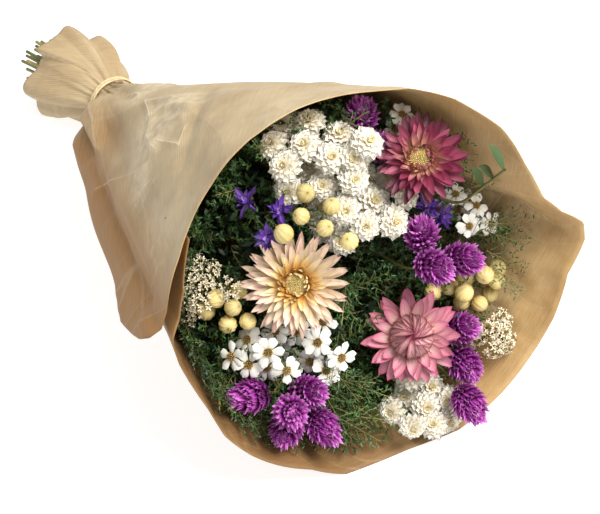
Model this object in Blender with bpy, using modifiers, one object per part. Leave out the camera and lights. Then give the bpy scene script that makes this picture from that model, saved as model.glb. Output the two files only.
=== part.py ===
"""A bouquet of dried flowers in a kraft paper wrap, lying on its side. Metres, +Z up.

Everything is laid out in the bouquet's own frame, which hangs from one empty at the tie:
local +Z runs up the bouquet to its mouth, local +Y is up and local +X is to the right as one
looks into the mouth. Clock angles turn clockwise from local +Y as one looks into the mouth.

First the bouquet is arranged: heads are slid and stems bent until nothing crosses. Then each
plant is modelled as one body, and the paper is rolled round them all.
"""

import math
import random

import bmesh
import bpy
import numpy as np
from mathutils import Matrix, Vector

MM = 0.001
GOLDEN_ANGLE = math.radians(137.508)

# How the bouquet lies.
TILT = math.radians(13.5)  # the mouth end is lifted this much
TIE_HEIGHT = 33.5 * MM

# The side that the bouquet shows. Heads lean this way, and slide along it to find room.
FRONT = Vector((-0.377, 0.556, 0.741)).normalized()
ACROSS = Vector((0.843, -0.125, 0.522))
ACROSS = (ACROSS - ACROSS.dot(FRONT) * FRONT).normalized()
UPWARD = FRONT.cross(ACROSS)

# The bundle of stems.
STEM_PITCH = 2.45 * MM  # between the middles of two bound stems
STEM_RADIUS = 1.0 * MM
BRANCH_RADIUS = 0.7 * MM
BRANCH_OFFSET = 1.5 * MM  # a branch meets its head this far from the head's middle
NECK_HALF = 11 * MM  # the stems run side by side this far each way from the tie
CUT_HEIGHT = -78 * MM
CUT_SPREAD = 1.8  # how much wider the bundle is at the cut ends
HANDLE_LEAN = Vector((-12 * MM, 3 * MM, 0))  # sideways shift of the bundle at the cut ends

# The kraft paper.
PAPER = 0.8 * MM
LAP_FROM, LAP_TO = 262, 302  # clock angles of the sheet's two edges, which lap
LAP_GAP = 2.4 * MM  # between the middles of the two layers
PLEAT_DEPTH = 0.8 * MM
BELLY = 17 * MM  # how far the sheet swells on the left, between tie and rim
SHOULDER = 11 * MM  # how far it stands out just past the tie
SKIRT_LENGTH = 50 * MM
SKIRT_FLARE = 19 * MM
NECK_BAND = 2.5 * MM  # the paper is straight this far each way from the tie
FIT = 0.4 * MM  # between pieces that lie against each other
TIE_THICKNESS = 1.0 * MM

# Least distance between plants, and between a plant and the paper's middle.
ELBOW_ROOM = 0.35 * MM
PAPER_ROOM = 1.8 * MM

COLOURS = {
    "kraft_paper": ((0.62, 0.44, 0.25), 0.75),
    "raffia": ((0.78, 0.62, 0.38), 0.8),
    "stem_green": ((0.20, 0.24, 0.08), 0.7),
    "fern_green": ((0.05, 0.13, 0.03), 0.6),
    "leaf_green": ((0.09, 0.17, 0.05), 0.5),
    "petal_peach": ((0.87, 0.58, 0.42), 0.45),
    "petal_pink": ((0.72, 0.22, 0.30), 0.45),
    "petal_burgundy": ((0.33, 0.04, 0.09), 0.45),
    "disc_yellow": ((0.66, 0.55, 0.24), 0.7),
    "button_white": ((0.88, 0.85, 0.76), 0.6),
    "daisy_white": ((0.86, 0.86, 0.80), 0.6),
    "pod_straw": ((0.76, 0.62, 0.32), 0.55),
    "canary_purple": ((0.24, 0.03, 0.32), 0.6),
    "larkspur_violet": ((0.12, 0.03, 0.36), 0.6),
    "statice_cream": ((0.82, 0.74, 0.55), 0.8),
}

# Where the middle of each bloom, spray or frond tip is: clock angle in degrees, radius and height in mm,
# then how far it turns from FRONT along ACROSS and UPWARD. Each kind is arranged in this order.
LAYOUT = {
    "peach_strawflower": (293, 28, 263, 0.0, 0.0),
    "pink_strawflower": (144, 52, 279, 0.0, 0.0),
    "burgundy_strawflower": (54, 77, 254, -0.1, 0.15),
    "canary_right_upper": (73, 50, 273, -0.1, 0.5),
    "canary_right_middle": (98, 51, 277, 0.6, -0.3),
    "canary_right_outer": (98, 70, 279, 0.8, -0.1),
    "canary_top_outer": (25, 89, 243, 0.0, 0.5),
    "canary_top_middle": (35, 73, 249, 0.3, 0.3),
    "canary_bottom_left": (236, 78, 263, -1.1, -0.1),
    "canary_bottom_top": (212, 61, 273, 0.55, -0.1),
    "canary_bottom_middle": (224, 71, 281, 0.1, -0.1),
    "canary_bottom_low": (219, 86, 272, -0.2, -0.5),
    "canary_bottom_right": (203, 79, 280, 0.7, -0.7),
    "canary_low_upper": (129, 79, 283, 0.6, 0.1),
    "canary_low_middle": (141, 91, 288, 0.35, -0.6),
    "canary_low_outer": (150, 103, 296, 0.5, -0.8),
    "pod_spray_middle": (342, 48, 272, -0.1, 0.1),
    "pod_spray_left": (271, 59, 243, -0.3, 0.0),
    "pod_spray_right": (116, 72, 276, 0.3, -0.1),
    "pod_spray_outer": (110, 90, 280, 0.4, 0.0),
    "larkspur_left": (327, 53, 245, -0.2, 0.1),
    "larkspur_right": (81, 66, 259, 0.3, 0.2),
    "button_spray_top": (5, 69, 249, -0.1, 0.25),
    "button_spray_middle": (30, 46, 259, 0.1, 0.1),
    "button_spray_bottom": (164, 86, 288, 0.0, -0.25),
    "daisy_spray_left": (248, 57, 261, -0.25, -0.1),
    "daisy_spray_middle": (220, 37, 263, 0.0, -0.1),
    "daisy_spray_right": (82, 85, 264, 0.2, 0.2),
    "daisy_spray_top": (37, 93, 247, 0.1, 0.4),
    "statice_left": (277, 66, 225, -0.4, 0.2),
    "statice_right": (127, 96, 292, 0.5, -0.3),
    "leaf_sprig": (62, 95, 287, 0.6, 0.5),
    "fern_left_top": (351, 72, 217, 0.0, 0.4),
    "fern_left_upper": (327, 60, 212, -0.3, 0.3),
    "fern_left_lower": (297, 57, 212, -0.5, 0.0),
    "fern_top": (20, 86, 235, 0.1, 0.6),
    "fern_top_right": (46, 94, 243, 0.3, 0.5),
    "fern_centre": (140, 15, 258, 0.0, 0.0),
    "fern_low_left": (193, 58, 265, -0.1, -0.3),
    "fern_low_middle": (174, 67, 267, 0.1, -0.4),
    "fern_low_outer": (188, 92, 271, 0.0, -0.8),
    "fern_rim_left": (238, 90, 254, -0.6, -0.6),
    "fern_rim_low": (212, 88, 266, -0.3, -0.9),
    "fern_right": (96, 101, 270, 0.9, 0.2),
    "fern_right_low": (142, 76, 270, 0.3, -0.5),
    "fern_right_top": (60, 100, 256, 0.6, 0.7),
}

# The sprays: number of heads, then in mm the spread of the heads, the fall from the middle one to the
# outer ones, the depth at which their branches part, and the radius of one head.
SPRAYS = {
    "pod_spray_middle": (7, 20, 4, 34, 5.0),
    "pod_spray_left": (6, 14, 4, 36, 5.0),
    "pod_spray_right": (6, 12, 4, 40, 5.0),
    "pod_spray_outer": (4, 9, 3, 40, 5.0),
    "larkspur_left": (3, 19, 3, 36, 7.0),
    "larkspur_right": (2, 7, 2, 34, 7.5),
    "button_spray_top": (11, 30, 8, 48, 8.0),
    "button_spray_middle": (9, 26, 7, 46, 8.0),
    "button_spray_bottom": (8, 20, 5, 40, 7.0),
    "daisy_spray_left": (6, 18, 4, 36, 7.4),
    "daisy_spray_middle": (6, 17, 4, 36, 7.4),
    "daisy_spray_right": (7, 19, 6, 44, 6.2),
    "daisy_spray_top": (3, 9, 3, 36, 6.0),
    "statice_left": (8, 16, 8, 30, 3.4),
    "statice_right": (6, 12, 5, 30, 3.4),
}

CANARY_LENGTH = 27 * MM
CANARY_RADIUS = 8.4 * MM

FROND_NEEDLES = 10
FROND_LENGTH = 58 * MM
NEEDLE_LENGTH = 15 * MM
NEEDLE_RADIUS = 0.5 * MM

LEAF_PAIRS = 3
LEAF_LENGTH = 17 * MM
LEAF_WIDTH = 8.5 * MM

# The cup that holds a strawflower's heart: (radius, height, notch) from bottom to top.
CUP = [(0, -7 * MM, 0), (7.5 * MM, -4.5 * MM, 0), (9.5 * MM, -1.2 * MM, 0), (0, -0.8 * MM, 0)]
CUP_DEPTH = 7 * MM
BRACT_TWIST = math.radians(10)  # each bract lies over its neighbour's edge

# Each whorl of bracts: count, then in mm (radius, height) of root, middle and tip, and the width.
WHORLS = {
    "peach_strawflower": [
        (13, (7, -3.4), (19, -2.8), (29, -0.5), 7.8),
        (12, (7, -2.2), (17, 1.4), (24.5, 4), 7),
        (9, (7, -1.6), (11.5, 4), (15.5, 9.5), 5.4),
    ],
    "pink_strawflower": [
        (12, (8, -3.4), (19.5, -2.6), (29, -0.2), 9),
        (11, (8, -2.3), (17.5, 1.8), (25, 4), 8.3),
    ],
    "burgundy_strawflower": [
        (11, (7, -3.4), (16.5, -2.2), (26, 0.8), 7.6),
        (10, (7, -2.3), (14.5, 2.2), (20.5, 6), 6.8),
        (7, (6.5, -1.8), (9.5, 3.8), (12, 8), 4.8),
    ],
}

# The rim of the sheet from its outer edge to its inner one: clock angle, then height and radius in mm.
RIM = [
    (262, 196, 99),
    (265, 216, 101),
    (268, 231, 102),
    (271, 241, 100),
    (274, 245, 94),
    (279, 244, 90),
    (286, 242, 88),
    (297, 239, 85),
    (325, 236, 86),
    (344, 236, 91),
    (372, 243, 97),
    (383, 253, 104),
    (391, 263, 111),
    (399, 279, 115),
    (412, 294, 114),
    (424, 301, 109),
    (435, 307, 108),
    (442, 309, 115),
    (448, 311, 126),
    (453, 311, 126),
    (463, 307, 119),
    (476, 306, 118),
    (490, 303, 115),
    (509, 298, 113),
    (520, 294, 114),
    (534, 290, 111),
    (550, 288, 107),
    (567, 287, 100),
    (593, 285, 99),
    (602, 280, 100),
    (611, 273, 98),
    (626, 260, 98),
    (632, 254, 96),
    (637, 249, 88),
    (644, 244, 83),
    (662, 230, 78),
]


# --- Places -----------------------------------------------------------------------------------


def clock_point(clock, radius, height):
    """A point in the bouquet's frame, from a clock angle in degrees and two lengths in metres."""
    angle = math.radians(clock)
    return Vector((radius * math.sin(angle), radius * math.cos(angle), height))


def place_of(name):
    """(point, direction) of a LAYOUT entry in the bouquet's frame."""
    clock, radius, height, across, upward = LAYOUT[name]
    direction = FRONT + across * ACROSS + upward * UPWARD
    return clock_point(clock, radius * MM, height * MM), direction.normalized()


def aim(point, direction, turn=0.0):
    """A matrix that stands a shape at point with its +Z along direction and its +X near ACROSS."""
    z = direction.normalized()
    x = (ACROSS - ACROSS.dot(z) * z).normalized()
    turned = Matrix((x, z.cross(x), z)).transposed() @ Matrix.Rotation(turn, 3, "Z")
    return Matrix.Translation(point) @ turned.to_4x4()


def bound_places():
    """Where each stem runs through the tie: the heads' layout drawn in, then pushed apart to STEM_PITCH."""
    places = np.array([place_of(name)[0][:2] for name in LAYOUT]) * 0.1
    steps = 900
    for step in range(steps):
        if step < steps * 0.8:
            places *= 0.995
        offsets = places[:, None] - places[None]
        distances = np.hypot(offsets[..., 0], offsets[..., 1]) + np.eye(len(places))
        push = np.clip(STEM_PITCH - distances, 0, None) / distances / 2
        np.fill_diagonal(push, 0)
        places += (offsets * push[..., None]).sum(axis=1) * 0.9
    return {name: Vector((*place, 0)) for name, place in zip(LAYOUT, places)}


NECK = bound_places()
BUNDLE_RADIUS = max(place.length for place in NECK.values()) + STEM_RADIUS
NECK_RADIUS = BUNDLE_RADIUS + FIT + 0.6 * PLEAT_DEPTH + PAPER / 2  # to the middle of the inner layer
TIE_RADIUS = NECK_RADIUS + PLEAT_DEPTH + LAP_GAP + PAPER / 2 + FIT + TIE_THICKNESS


# --- Shape of the paper -----------------------------------------------------------------------


def ease(value, low, high):
    """A smooth step from 0 at low to 1 at high."""
    share = max(0.0, min(1.0, (value - low) / (high - low)))
    return share * share * (3 - 2 * share)


def swell(value, low, middle, high):
    """A smooth bump from 0 at low through 1 at middle to 0 at high."""
    return ease(value, low, middle) if value < middle else 1 - ease(value, middle, high)


def rim_at(clock):
    """(height, radius) of the sheet's rim at a clock angle from LAP_FROM to 360 + LAP_TO."""
    clocks, heights, radii = zip(*RIM)
    return float(np.interp(clock, clocks, heights)) * MM, float(np.interp(clock, clocks, radii)) * MM


def paper_radius(clock, height):
    """How far the middle of the paper is from the axis at a clock angle and a height."""
    angle = math.radians(clock)
    pleat = 0.62 * math.sin(8 * angle + 0.5) + 0.38 * math.sin(5 * angle + 1.9)
    lap = max(0.0, min(1.0, (LAP_TO + 45 - clock) / 45)) * LAP_GAP
    radius = NECK_RADIUS + lap
    if height > NECK_BAND:
        rim_height, rim_radius = rim_at(clock)
        share = (height - NECK_BAND) / (rim_height - NECK_BAND)
        radius += (rim_radius - NECK_RADIUS) * share
        belly = ease(share, 0, 0.12) * (1 - ease(share, 0.2, 0.85))
        radius += BELLY * belly * swell(clock % 360, 190, 246, 302)
        shoulder = swell(height, NECK_BAND, 22 * MM, 75 * MM)
        radius += SHOULDER * shoulder * swell(clock % 360, 230, 290, 340)
        radius += 4 * MM * swell(share, 0.1, 0.55, 1.0)
        return radius + pleat * (PLEAT_DEPTH + 2.2 * MM * swell(height, NECK_BAND, 40 * MM, 130 * MM))
    if height < -NECK_BAND:
        share = min(1.0, (-height - NECK_BAND) / (SKIRT_LENGTH - NECK_BAND))
        radius += SKIRT_FLARE * math.sin(share * math.pi / 2) ** 1.2
        return radius + pleat * (PLEAT_DEPTH + 2.6 * MM * share)
    return radius + pleat * PLEAT_DEPTH


def lean_at(height):
    """How far the sheet leans sideways at a height, below the tie."""
    return HANDLE_LEAN * max(0.0, height / CUT_HEIGHT) ** 2


def paper_point(clock, height):
    """A point of the middle of the paper. Below the tie the sheet leans as the stems do."""
    return clock_point(clock, paper_radius(clock, height), height) + lean_at(height)


def above_ground(point):
    """Height over the ground of a point in the bouquet's frame."""
    return TIE_HEIGHT + point[1] * math.cos(TILT) + point[2] * math.sin(TILT)


def inside_paper(point, radius):
    """Whether a ball round point is clear of the ground and of the paper, where there is any."""
    if above_ground(point) < radius + PAPER + PAPER_ROOM:
        return False
    shift = lean_at(point[2])
    x, y = point[0] - shift.x, point[1] - shift.y
    clock = math.degrees(math.atan2(x, y)) % 360
    clock += 360 if clock < LAP_TO else 0
    if point[2] > rim_at(clock)[0] + radius:
        return True
    return math.hypot(x, y) + radius + PAPER_ROOM < paper_radius(clock, point[2])


# --- Arranging --------------------------------------------------------------------------------


class Room:
    """The room already filled, as rods with round ends and as shallow blooms, each with an owner."""

    def __init__(self):
        self.rods = np.zeros((4000, 8))  # start, end, radius and owner's number
        self.count = 0
        self.blooms = []

    def fill(self, owner, start, end, radius):
        self.rods[self.count] = (*start, *end, radius, owner)
        self.count += 1

    def fill_bloom(self, owner, centre, axis, radius, behind, before):
        self.blooms.append((owner, np.array(centre), np.array(axis), radius, behind, before))

    def is_clear(self, owner, start, end, radius):
        """Whether a rod keeps ELBOW_ROOM from all that others own, and stays inside the paper."""
        length = (end - start).length
        points = np.linspace(start, end, 2 + int(length / MM))
        if not all(inside_paper(point, radius) for point in points[:: max(1, len(points) // 8)]):
            return False
        reach = radius + ELBOW_ROOM
        rods = self.rods[: self.count]
        low, high = points.min(axis=0) - reach, points.max(axis=0) + reach
        starts, ends, radii = rods[:, 0:3], rods[:, 3:6], rods[:, 6]
        near = (np.minimum(starts, ends) - radii[:, None] < high).all(axis=1)
        near &= (np.maximum(starts, ends) + radii[:, None] > low).all(axis=1)
        near &= rods[:, 7] != owner
        if near.any():
            starts, radii = starts[near], radii[near]
            runs = ends[near] - starts
            offsets = points[:, None] - starts[None]
            lengths = np.maximum((runs * runs).sum(axis=1), 1e-12)
            shares = np.clip((offsets * runs).sum(axis=2) / lengths, 0, 1)
            gaps = np.linalg.norm(offsets - shares[..., None] * runs, axis=2) - radii
            if gaps.min() < reach:
                return False
        for other, centre, axis, wide, behind, before in self.blooms:
            if other != owner:
                offsets = points - centre
                heights = offsets @ axis
                across = np.linalg.norm(offsets - heights[:, None] * axis, axis=1)
                within = (heights > -behind - reach) & (heights < before + reach) & (across < wide + reach)
                if within.any():
                    return False
        return True


SLIDES = [step * 3 * MM for step in (0, 1, -1, 2, -2, 3, -3, 4, -4, 5, -5, 6, -6, 7, 8, 9)]
SIDESTEPS = [(0, 0)] + [
    (reach * math.cos(turn * math.tau / 8), reach * math.sin(turn * math.tau / 8))
    for reach in (4 * MM, 8 * MM, 13 * MM, 19 * MM, 27 * MM)
    for turn in range(8)
]
NUDGES = SIDESTEPS[:17]
BENDS = (14 * MM, 26 * MM, 40 * MM, 60 * MM, 90 * MM, 120 * MM)  # from a head down to its stem's knee


def slide(room, owner, point, offset, radius):
    """The nearest spot, along FRONT at best, at which a rod from it to it + offset has room, if any."""
    for across, upward in NUDGES:
        for step in SLIDES:
            moved = point + FRONT * step + ACROSS * across + UPWARD * upward
            if room.is_clear(owner, moved, moved + offset, radius):
                return moved
    return None


def lower_stem(name):
    """The run of a stem through the tie to its cut end."""
    place = NECK[name]
    ragged = (list(LAYOUT).index(name) * 5 % 9 - 4) * 1.5 * MM
    end = place * CUT_SPREAD + HANDLE_LEAN
    return [
        place + Vector((0, 0, NECK_HALF)),
        place - Vector((0, 0, NECK_HALF)),
        end + Vector((0, 0, CUT_HEIGHT + ragged)),
    ]


def find_knee(room, owner, top, bottom, direction):
    """Where a stem bends on its way from top to bottom: the first place that leaves both runs room."""
    for bend in BENDS:
        for across, upward in SIDESTEPS:
            knee = top - direction * bend + ACROSS * across + UPWARD * upward
            if room.is_clear(owner, top, knee, STEM_RADIUS):
                if room.is_clear(owner, knee, bottom, STEM_RADIUS):
                    return knee
    return top - direction * BENDS[0]


def grow_stem(room, name, owner, top, direction):
    """A stem from top to its cut end."""
    below = lower_stem(name)
    stem = [top, find_knee(room, owner, top, below[0], direction), *below]
    for start, end in zip(stem, stem[1:]):
        room.fill(owner, start, end, STEM_RADIUS)
    return stem


def arrange_strawflower(room, name, owner):
    point, direction = place_of(name)
    reach = max(tip[0] for _, _, _, tip, _ in WHORLS[name]) * MM * 1.04
    for step in SLIDES:
        if all(inside_paper(aim(point + FRONT * step, direction) @ rim, 1 * MM) for rim in ring(reach)):
            point = point + FRONT * step
            break
    room.fill_bloom(owner, point, direction, reach, 5 * MM, 10 * MM)
    room.fill(owner, point, point - direction * CUP_DEPTH, 8 * MM)
    stem = grow_stem(room, name, owner, point - direction * (CUP_DEPTH + FIT), direction)
    return {"heads": [(point, direction)], "stem": stem}


def ring(radius):
    """Eight points round a bloom's edge, in the bloom's own frame."""
    return [Matrix.Rotation(turn * math.tau / 8, 3, "Z") @ Vector((radius, 0, 0)) for turn in range(8)]


def arrange_canary(room, name, owner):
    centre, direction = place_of(name)
    low = centre - direction * (CANARY_LENGTH / 2 - CANARY_RADIUS)
    rise = direction * (CANARY_LENGTH - 2 * CANARY_RADIUS)
    found = slide(room, owner, low, rise, CANARY_RADIUS) or low
    room.fill(owner, found, found + rise, CANARY_RADIUS)
    base = found - direction * CANARY_RADIUS
    stem = grow_stem(room, name, owner, base + direction * 2 * MM, direction)
    return {"heads": [(base, direction)], "stem": stem}


def arrange_spray(room, name, owner):
    """Heads on a sunflower spiral laid over a low dome, each slid to where it and its branch have room."""
    count, spread, fall, depth, head_radius = SPRAYS[name]
    centre, direction = place_of(name)
    stand = aim(centre, direction)
    ray = (centre - lower_stem(name)[0]).normalized()
    hub = centre - (ray + direction).normalized() * depth * MM
    stem = grow_stem(room, name, owner, hub, (ray + direction).normalized())
    lower_joints = [stem[1].lerp(stem[2], share) for share in (0, 0.08, 0.16)]
    heads, forks = [], []
    for i in range(count):
        radius = math.sqrt((i + 0.5) / count)
        angle = i * GOLDEN_ANGLE
        across, along = radius * math.cos(angle), radius * math.sin(angle)
        spot = stand @ (Vector((across * spread, along * spread, -fall * radius**2)) * MM)
        facing = (stand.to_3x3() @ Vector((across, along, 1.6))).normalized()
        joint = stem[0].lerp(stem[1], 0.05 + 0.9 * i / count)
        reach = head_radius * 0.9 * MM
        found = place_head(room, owner, spot, reach, [joint, *lower_joints], [head for head, _ in heads])
        if found is None:
            continue
        spot, joint = found
        heads.append((spot, facing))
        forks.append((joint, spot))
        room.fill(owner, spot, spot, reach)
        room.fill(owner, joint, spot, BRANCH_RADIUS)
    return {"heads": heads, "forks": forks, "stem": stem}


def place_head(room, owner, spot, radius, joints, neighbours):
    """(spot, joint) with room for a head near spot and for its branch from a joint, or None."""
    for across, upward in NUDGES:
        for step in SLIDES[:9]:
            moved = spot + FRONT * step + ACROSS * across + UPWARD * upward
            if any((moved - other).length < 2.25 * radius for other in neighbours):
                continue
            if room.is_clear(owner, moved, moved, radius):
                for joint in joints:
                    if room.is_clear(owner, joint, moved, BRANCH_RADIUS):
                        return moved, joint
    return None


def arrange_leaves(room, name, owner):
    """Pairs of broad leaves near the tip of a stem."""
    tip, direction = place_of(name)
    twig = direction * 30 * MM
    tip = (slide(room, owner, tip - twig, twig, LEAF_WIDTH) or tip - twig) + twig
    stem = grow_stem(room, name, owner, tip - twig, direction)
    stand = aim(tip, direction).to_3x3()
    leaves = []
    for i in range(LEAF_PAIRS):
        start = tip - direction * (10 * i + 1) * MM
        for sign in (-1, 1):
            way = (stand @ Vector((sign * 0.75, 0.55 - 0.5 * (i % 2), 0.45))).normalized()
            length = LEAF_LENGTH * (1 - 0.12 * i)
            middle, end = start + way * length * 0.3, start + way * length
            if room.is_clear(owner, middle, end, LEAF_WIDTH * 0.4):
                leaves.append((start, way, direction.cross(way).normalized(), length))
                room.fill(owner, middle, end, LEAF_WIDTH * 0.4)
    return {"leaves": leaves, "stem": [tip, *stem]}


def arrange_frond(room, name, owner):
    """A plume: needles all round the last stretch of a thin stem, shortened where there is no room."""
    rng = random.Random(name)
    tip, direction = place_of(name)
    lean = ((tip - lower_stem(name)[0]).normalized() * 2 + direction).normalized()
    base = tip - lean * FROND_LENGTH
    base = slide(room, owner, base, tip - base, 2 * STEM_RADIUS) or base
    tip = base + lean * FROND_LENGTH
    stem = grow_stem(room, name, owner, base, lean)
    room.fill(owner, base, tip, STEM_RADIUS)
    stand = aim(base, lean).to_3x3()
    needles = []
    for i in range(FROND_NEEDLES):
        share = 0.1 + 0.9 * i / (FROND_NEEDLES - 1)
        start = base.lerp(tip, share)
        angle = i * GOLDEN_ANGLE + rng.uniform(-0.3, 0.3)
        pitch = math.radians(58 - 22 * share)
        way = Vector((math.cos(angle) * math.sin(pitch), math.sin(angle) * math.sin(pitch), math.cos(pitch)))
        way = stand @ way
        length = NEEDLE_LENGTH * (0.75 + 0.35 * math.sin(math.pi * min(1, share + 0.15))) * rng.uniform(0.85, 1.1)
        for cut in (1.0, 0.75, 0.55):
            end = start + way * length * cut
            if room.is_clear(owner, start, end, NEEDLE_RADIUS):
                needles.append((start, end))
                room.fill(owner, start, end, NEEDLE_RADIUS)
                break
    return {"needles": needles, "stem": [tip, *stem]}


ARRANGERS = {
    "peach": arrange_strawflower,
    "pink": arrange_strawflower,
    "burgundy": arrange_strawflower,
    "canary": arrange_canary,
    "leaf": arrange_leaves,
    "fern": arrange_frond,
}


def arrange():
    """Every plant of LAYOUT with the places of its stem and of what grows on it."""
    room = Room()
    for owner, name in enumerate(LAYOUT):
        for start, end in zip(lower_stem(name), lower_stem(name)[1:]):
            room.fill(owner, start, end, STEM_RADIUS)
    plants = {}
    for owner, name in enumerate(LAYOUT):
        arranger = ARRANGERS.get(name.split("_")[0], arrange_spray)
        plants[name] = arranger(room, name, owner)
    return plants


# --- Scene, materials and meshes --------------------------------------------------------------


def clear_scene():
    for obj in list(bpy.data.objects):
        bpy.data.objects.remove(obj)


def make_material(name):
    colour, roughness = COLOURS[name]
    material = bpy.data.materials.new(name)
    material.use_nodes = True
    shader = material.node_tree.nodes["Principled BSDF"]
    shader.inputs["Base Color"].default_value = (*colour, 1)
    shader.inputs["Roughness"].default_value = roughness
    shader.inputs["Metallic"].default_value = 0.0
    material.diffuse_color = (*colour, 1)
    return material


def mesh_from(bm, matrix=None):
    """A mesh of what bm holds, moved by matrix, with bm freed."""
    mesh = bpy.data.meshes.new("shape")
    bm.to_mesh(mesh)
    bm.free()
    if matrix is not None:
        mesh.transform(matrix)
    return mesh


def evaluated_mesh(obj):
    """The object's mesh with its modifiers applied and its matrix left out."""
    graph = bpy.context.evaluated_depsgraph_get()
    graph.update()
    return bpy.data.meshes.new_from_object(obj.evaluated_get(graph))


def with_modifier(mesh, kind, **settings):
    """The mesh with one modifier applied."""
    obj = bpy.data.objects.new("modified", mesh)
    bpy.context.scene.collection.objects.link(obj)
    modifier = obj.modifiers.new(kind, kind)
    for key, value in settings.items():
        setattr(modifier, key, value)
    done = evaluated_mesh(obj)
    bpy.data.objects.remove(obj)
    return done


def union(meshes):
    """One mesh from several closed ones that overlap."""
    pieces = bpy.data.collections.new("pieces")
    bpy.context.scene.collection.children.link(pieces)
    for mesh in meshes[1:]:
        pieces.objects.link(bpy.data.objects.new("piece", mesh))
    joined = with_modifier(
        meshes[0], "BOOLEAN", operation="UNION", operand_type="COLLECTION", collection=pieces, solver="EXACT"
    )
    for obj in list(pieces.objects):
        bpy.data.objects.remove(obj)
    bpy.data.collections.remove(pieces)
    return joined


def tube(points, radius):
    """A closed four-sided tube along straight runs between points."""
    curve = bpy.data.curves.new("run", "CURVE")
    curve.dimensions = "3D"
    curve.bevel_depth = radius
    curve.bevel_resolution = 0
    curve.use_fill_caps = True
    spline = curve.splines.new("POLY")
    spline.points.add(len(points) - 1)
    for target, point in zip(spline.points, points):
        target.co = (*point, 1)
    obj = bpy.data.objects.new("run", curve)
    bpy.context.scene.collection.objects.link(obj)
    mesh = evaluated_mesh(obj)
    bpy.data.objects.remove(obj)
    bm = bmesh.new()
    bm.from_mesh(mesh)
    bmesh.ops.remove_doubles(bm, verts=bm.verts, dist=1e-6)
    return mesh_from(bm)


def spike(start, end, radius_start, radius_end):
    """A thin three-sided tapered rod from start to end."""
    run = end - start
    bm = bmesh.new()
    bmesh.ops.create_cone(
        bm, cap_ends=True, segments=3, radius1=radius_start, radius2=radius_end, depth=run.length
    )
    upright = run.to_track_quat("Z", "Y").to_matrix().to_4x4()
    return mesh_from(bm, Matrix.Translation((start + end) / 2) @ upright)


def lobed(profile, lobes, matrix, twist=0.0, points=2):
    """A closed turned body with lobes round its axis, from a UV sphere whose rings follow a profile.

    profile lists (radius, height, notch) from bottom to top, poles first and last, where notch is the
    share of the radius that the dips between lobes cut in. Each ring is turned by twist from the last.
    Each lobe takes that many points: its dip, and one for a pointed end or two for a blunt one.
    """
    rings = len(profile) - 2
    bm = bmesh.new()
    bmesh.ops.create_uvsphere(bm, u_segments=points * lobes, v_segments=rings + 1, radius=1)
    for vert in bm.verts:
        level = round(math.acos(max(-1, min(1, -vert.co.z))) / math.pi * (rings + 1))
        radius, height, notch = profile[level]
        step = math.floor(math.atan2(vert.co.y, vert.co.x) / math.tau * points * lobes + 0.01)
        angle = math.tau * step / (points * lobes) + twist * level
        if step % points == 0:
            radius *= 1 - notch
        vert.co = (radius * math.cos(angle), radius * math.sin(angle), height)
    return mesh_from(bm, matrix)


# --- Blooms -----------------------------------------------------------------------------------


def bract(root, middle, tip, width, matrix):
    """One pointed blade that bends at its middle. root, middle and tip are (radius, height)."""
    bm = bmesh.new()
    near, far = width * 0.275, width / 2
    corners = [
        bm.verts.new((radius, side, height))
        for (radius, height), side in (
            (root, near), (root, -near), (middle, -far), (tip, 0), (middle, far)
        )
    ]
    left_root, right_root, right, point, left = corners
    bm.faces.new((right_root, right, left, left_root))
    bm.faces.new((right, point, left))
    blade = mesh_from(bm, Matrix.Scale(MM, 4))
    blade = with_modifier(blade, "SOLIDIFY", thickness=0.75 * MM, offset=0, use_even_offset=True)
    blade.transform(matrix)
    return blade


def strawflower_bracts(name, plant):
    """The spreading bracts of a strawflower, rooted in a shallow cup that holds its heart."""
    stand = aim(*plant["heads"][0])
    blades = [lobed(CUP, 6, stand)]
    for order, (count, root, middle, tip, width) in enumerate(WHORLS[name]):
        for i in range(count):
            turn = (i + 0.5 * (order % 2)) * math.tau / count
            sway = 1 + 0.04 * math.sin(2.3 * i + order)
            lie = Matrix.Rotation(BRACT_TWIST, 4, "X") @ Matrix.Scale(sway, 4)
            matrix = stand @ Matrix.Rotation(turn, 4, "Z") @ lie
            blades.append(bract(root, middle, tip, width, matrix))
    return union(blades)


def strawflower_heart(plant, radius, height, lobes):
    """The domed middle of a strawflower, just over its cup."""
    base = CUP[-1][1] + FIT
    profile = [
        (0, base, 0),
        (radius * 0.9, base + 0.5 * MM, 0),
        (radius, base + height * 0.5, 0.12),
        (radius * 0.6, base + height * 0.95, 0.12),
        (0, base + height, 0),
    ]
    return lobed(profile, lobes, aim(*plant["heads"][0]))


def button(size, matrix):
    """A double white button: a ruffled skirt under a smaller ruffled crown."""
    profile = [(0, -3.4 * MM, 0), (size, -0.6 * MM, 0.2), (size * 0.55, 2.2 * MM, 0.1), (0, 3.4 * MM, 0)]
    return lobed(profile, 6, matrix, twist=math.pi / 6)


def daisy(size, matrix):
    """A small daisy: five blunt petals round a raised disc."""
    profile = [(0, -1.6 * MM, 0), (size, -0.2 * MM, 0.5), (size * 0.3, 1.0 * MM, 0), (0, 2.2 * MM, 0)]
    return lobed(profile, 5, matrix, points=3)


def pod(size, matrix):
    """A round ribbed seed pod."""
    profile = [(0, -size, 0), (size * 0.92, -size * 0.4, 0.1), (size * 0.92, size * 0.4, 0.1), (0, size * 1.1, 0)]
    return lobed(profile, 5, matrix)


def larkspur(size, matrix):
    """A larkspur floret: five pointed petals round a small throat, over a backward spur."""
    profile = [(0, -5 * MM, 0), (size, 1.4 * MM, 0.6), (size * 0.97, 2.4 * MM, 0.6), (0, 1.8 * MM, 0)]
    return lobed(profile, 5, matrix)


def statice(size, matrix):
    profile = [(0, -2.2 * MM, 0), (size, 1.0 * MM, 0.4), (0, 1.4 * MM, 0)]
    return lobed(profile, 3, matrix)


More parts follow.
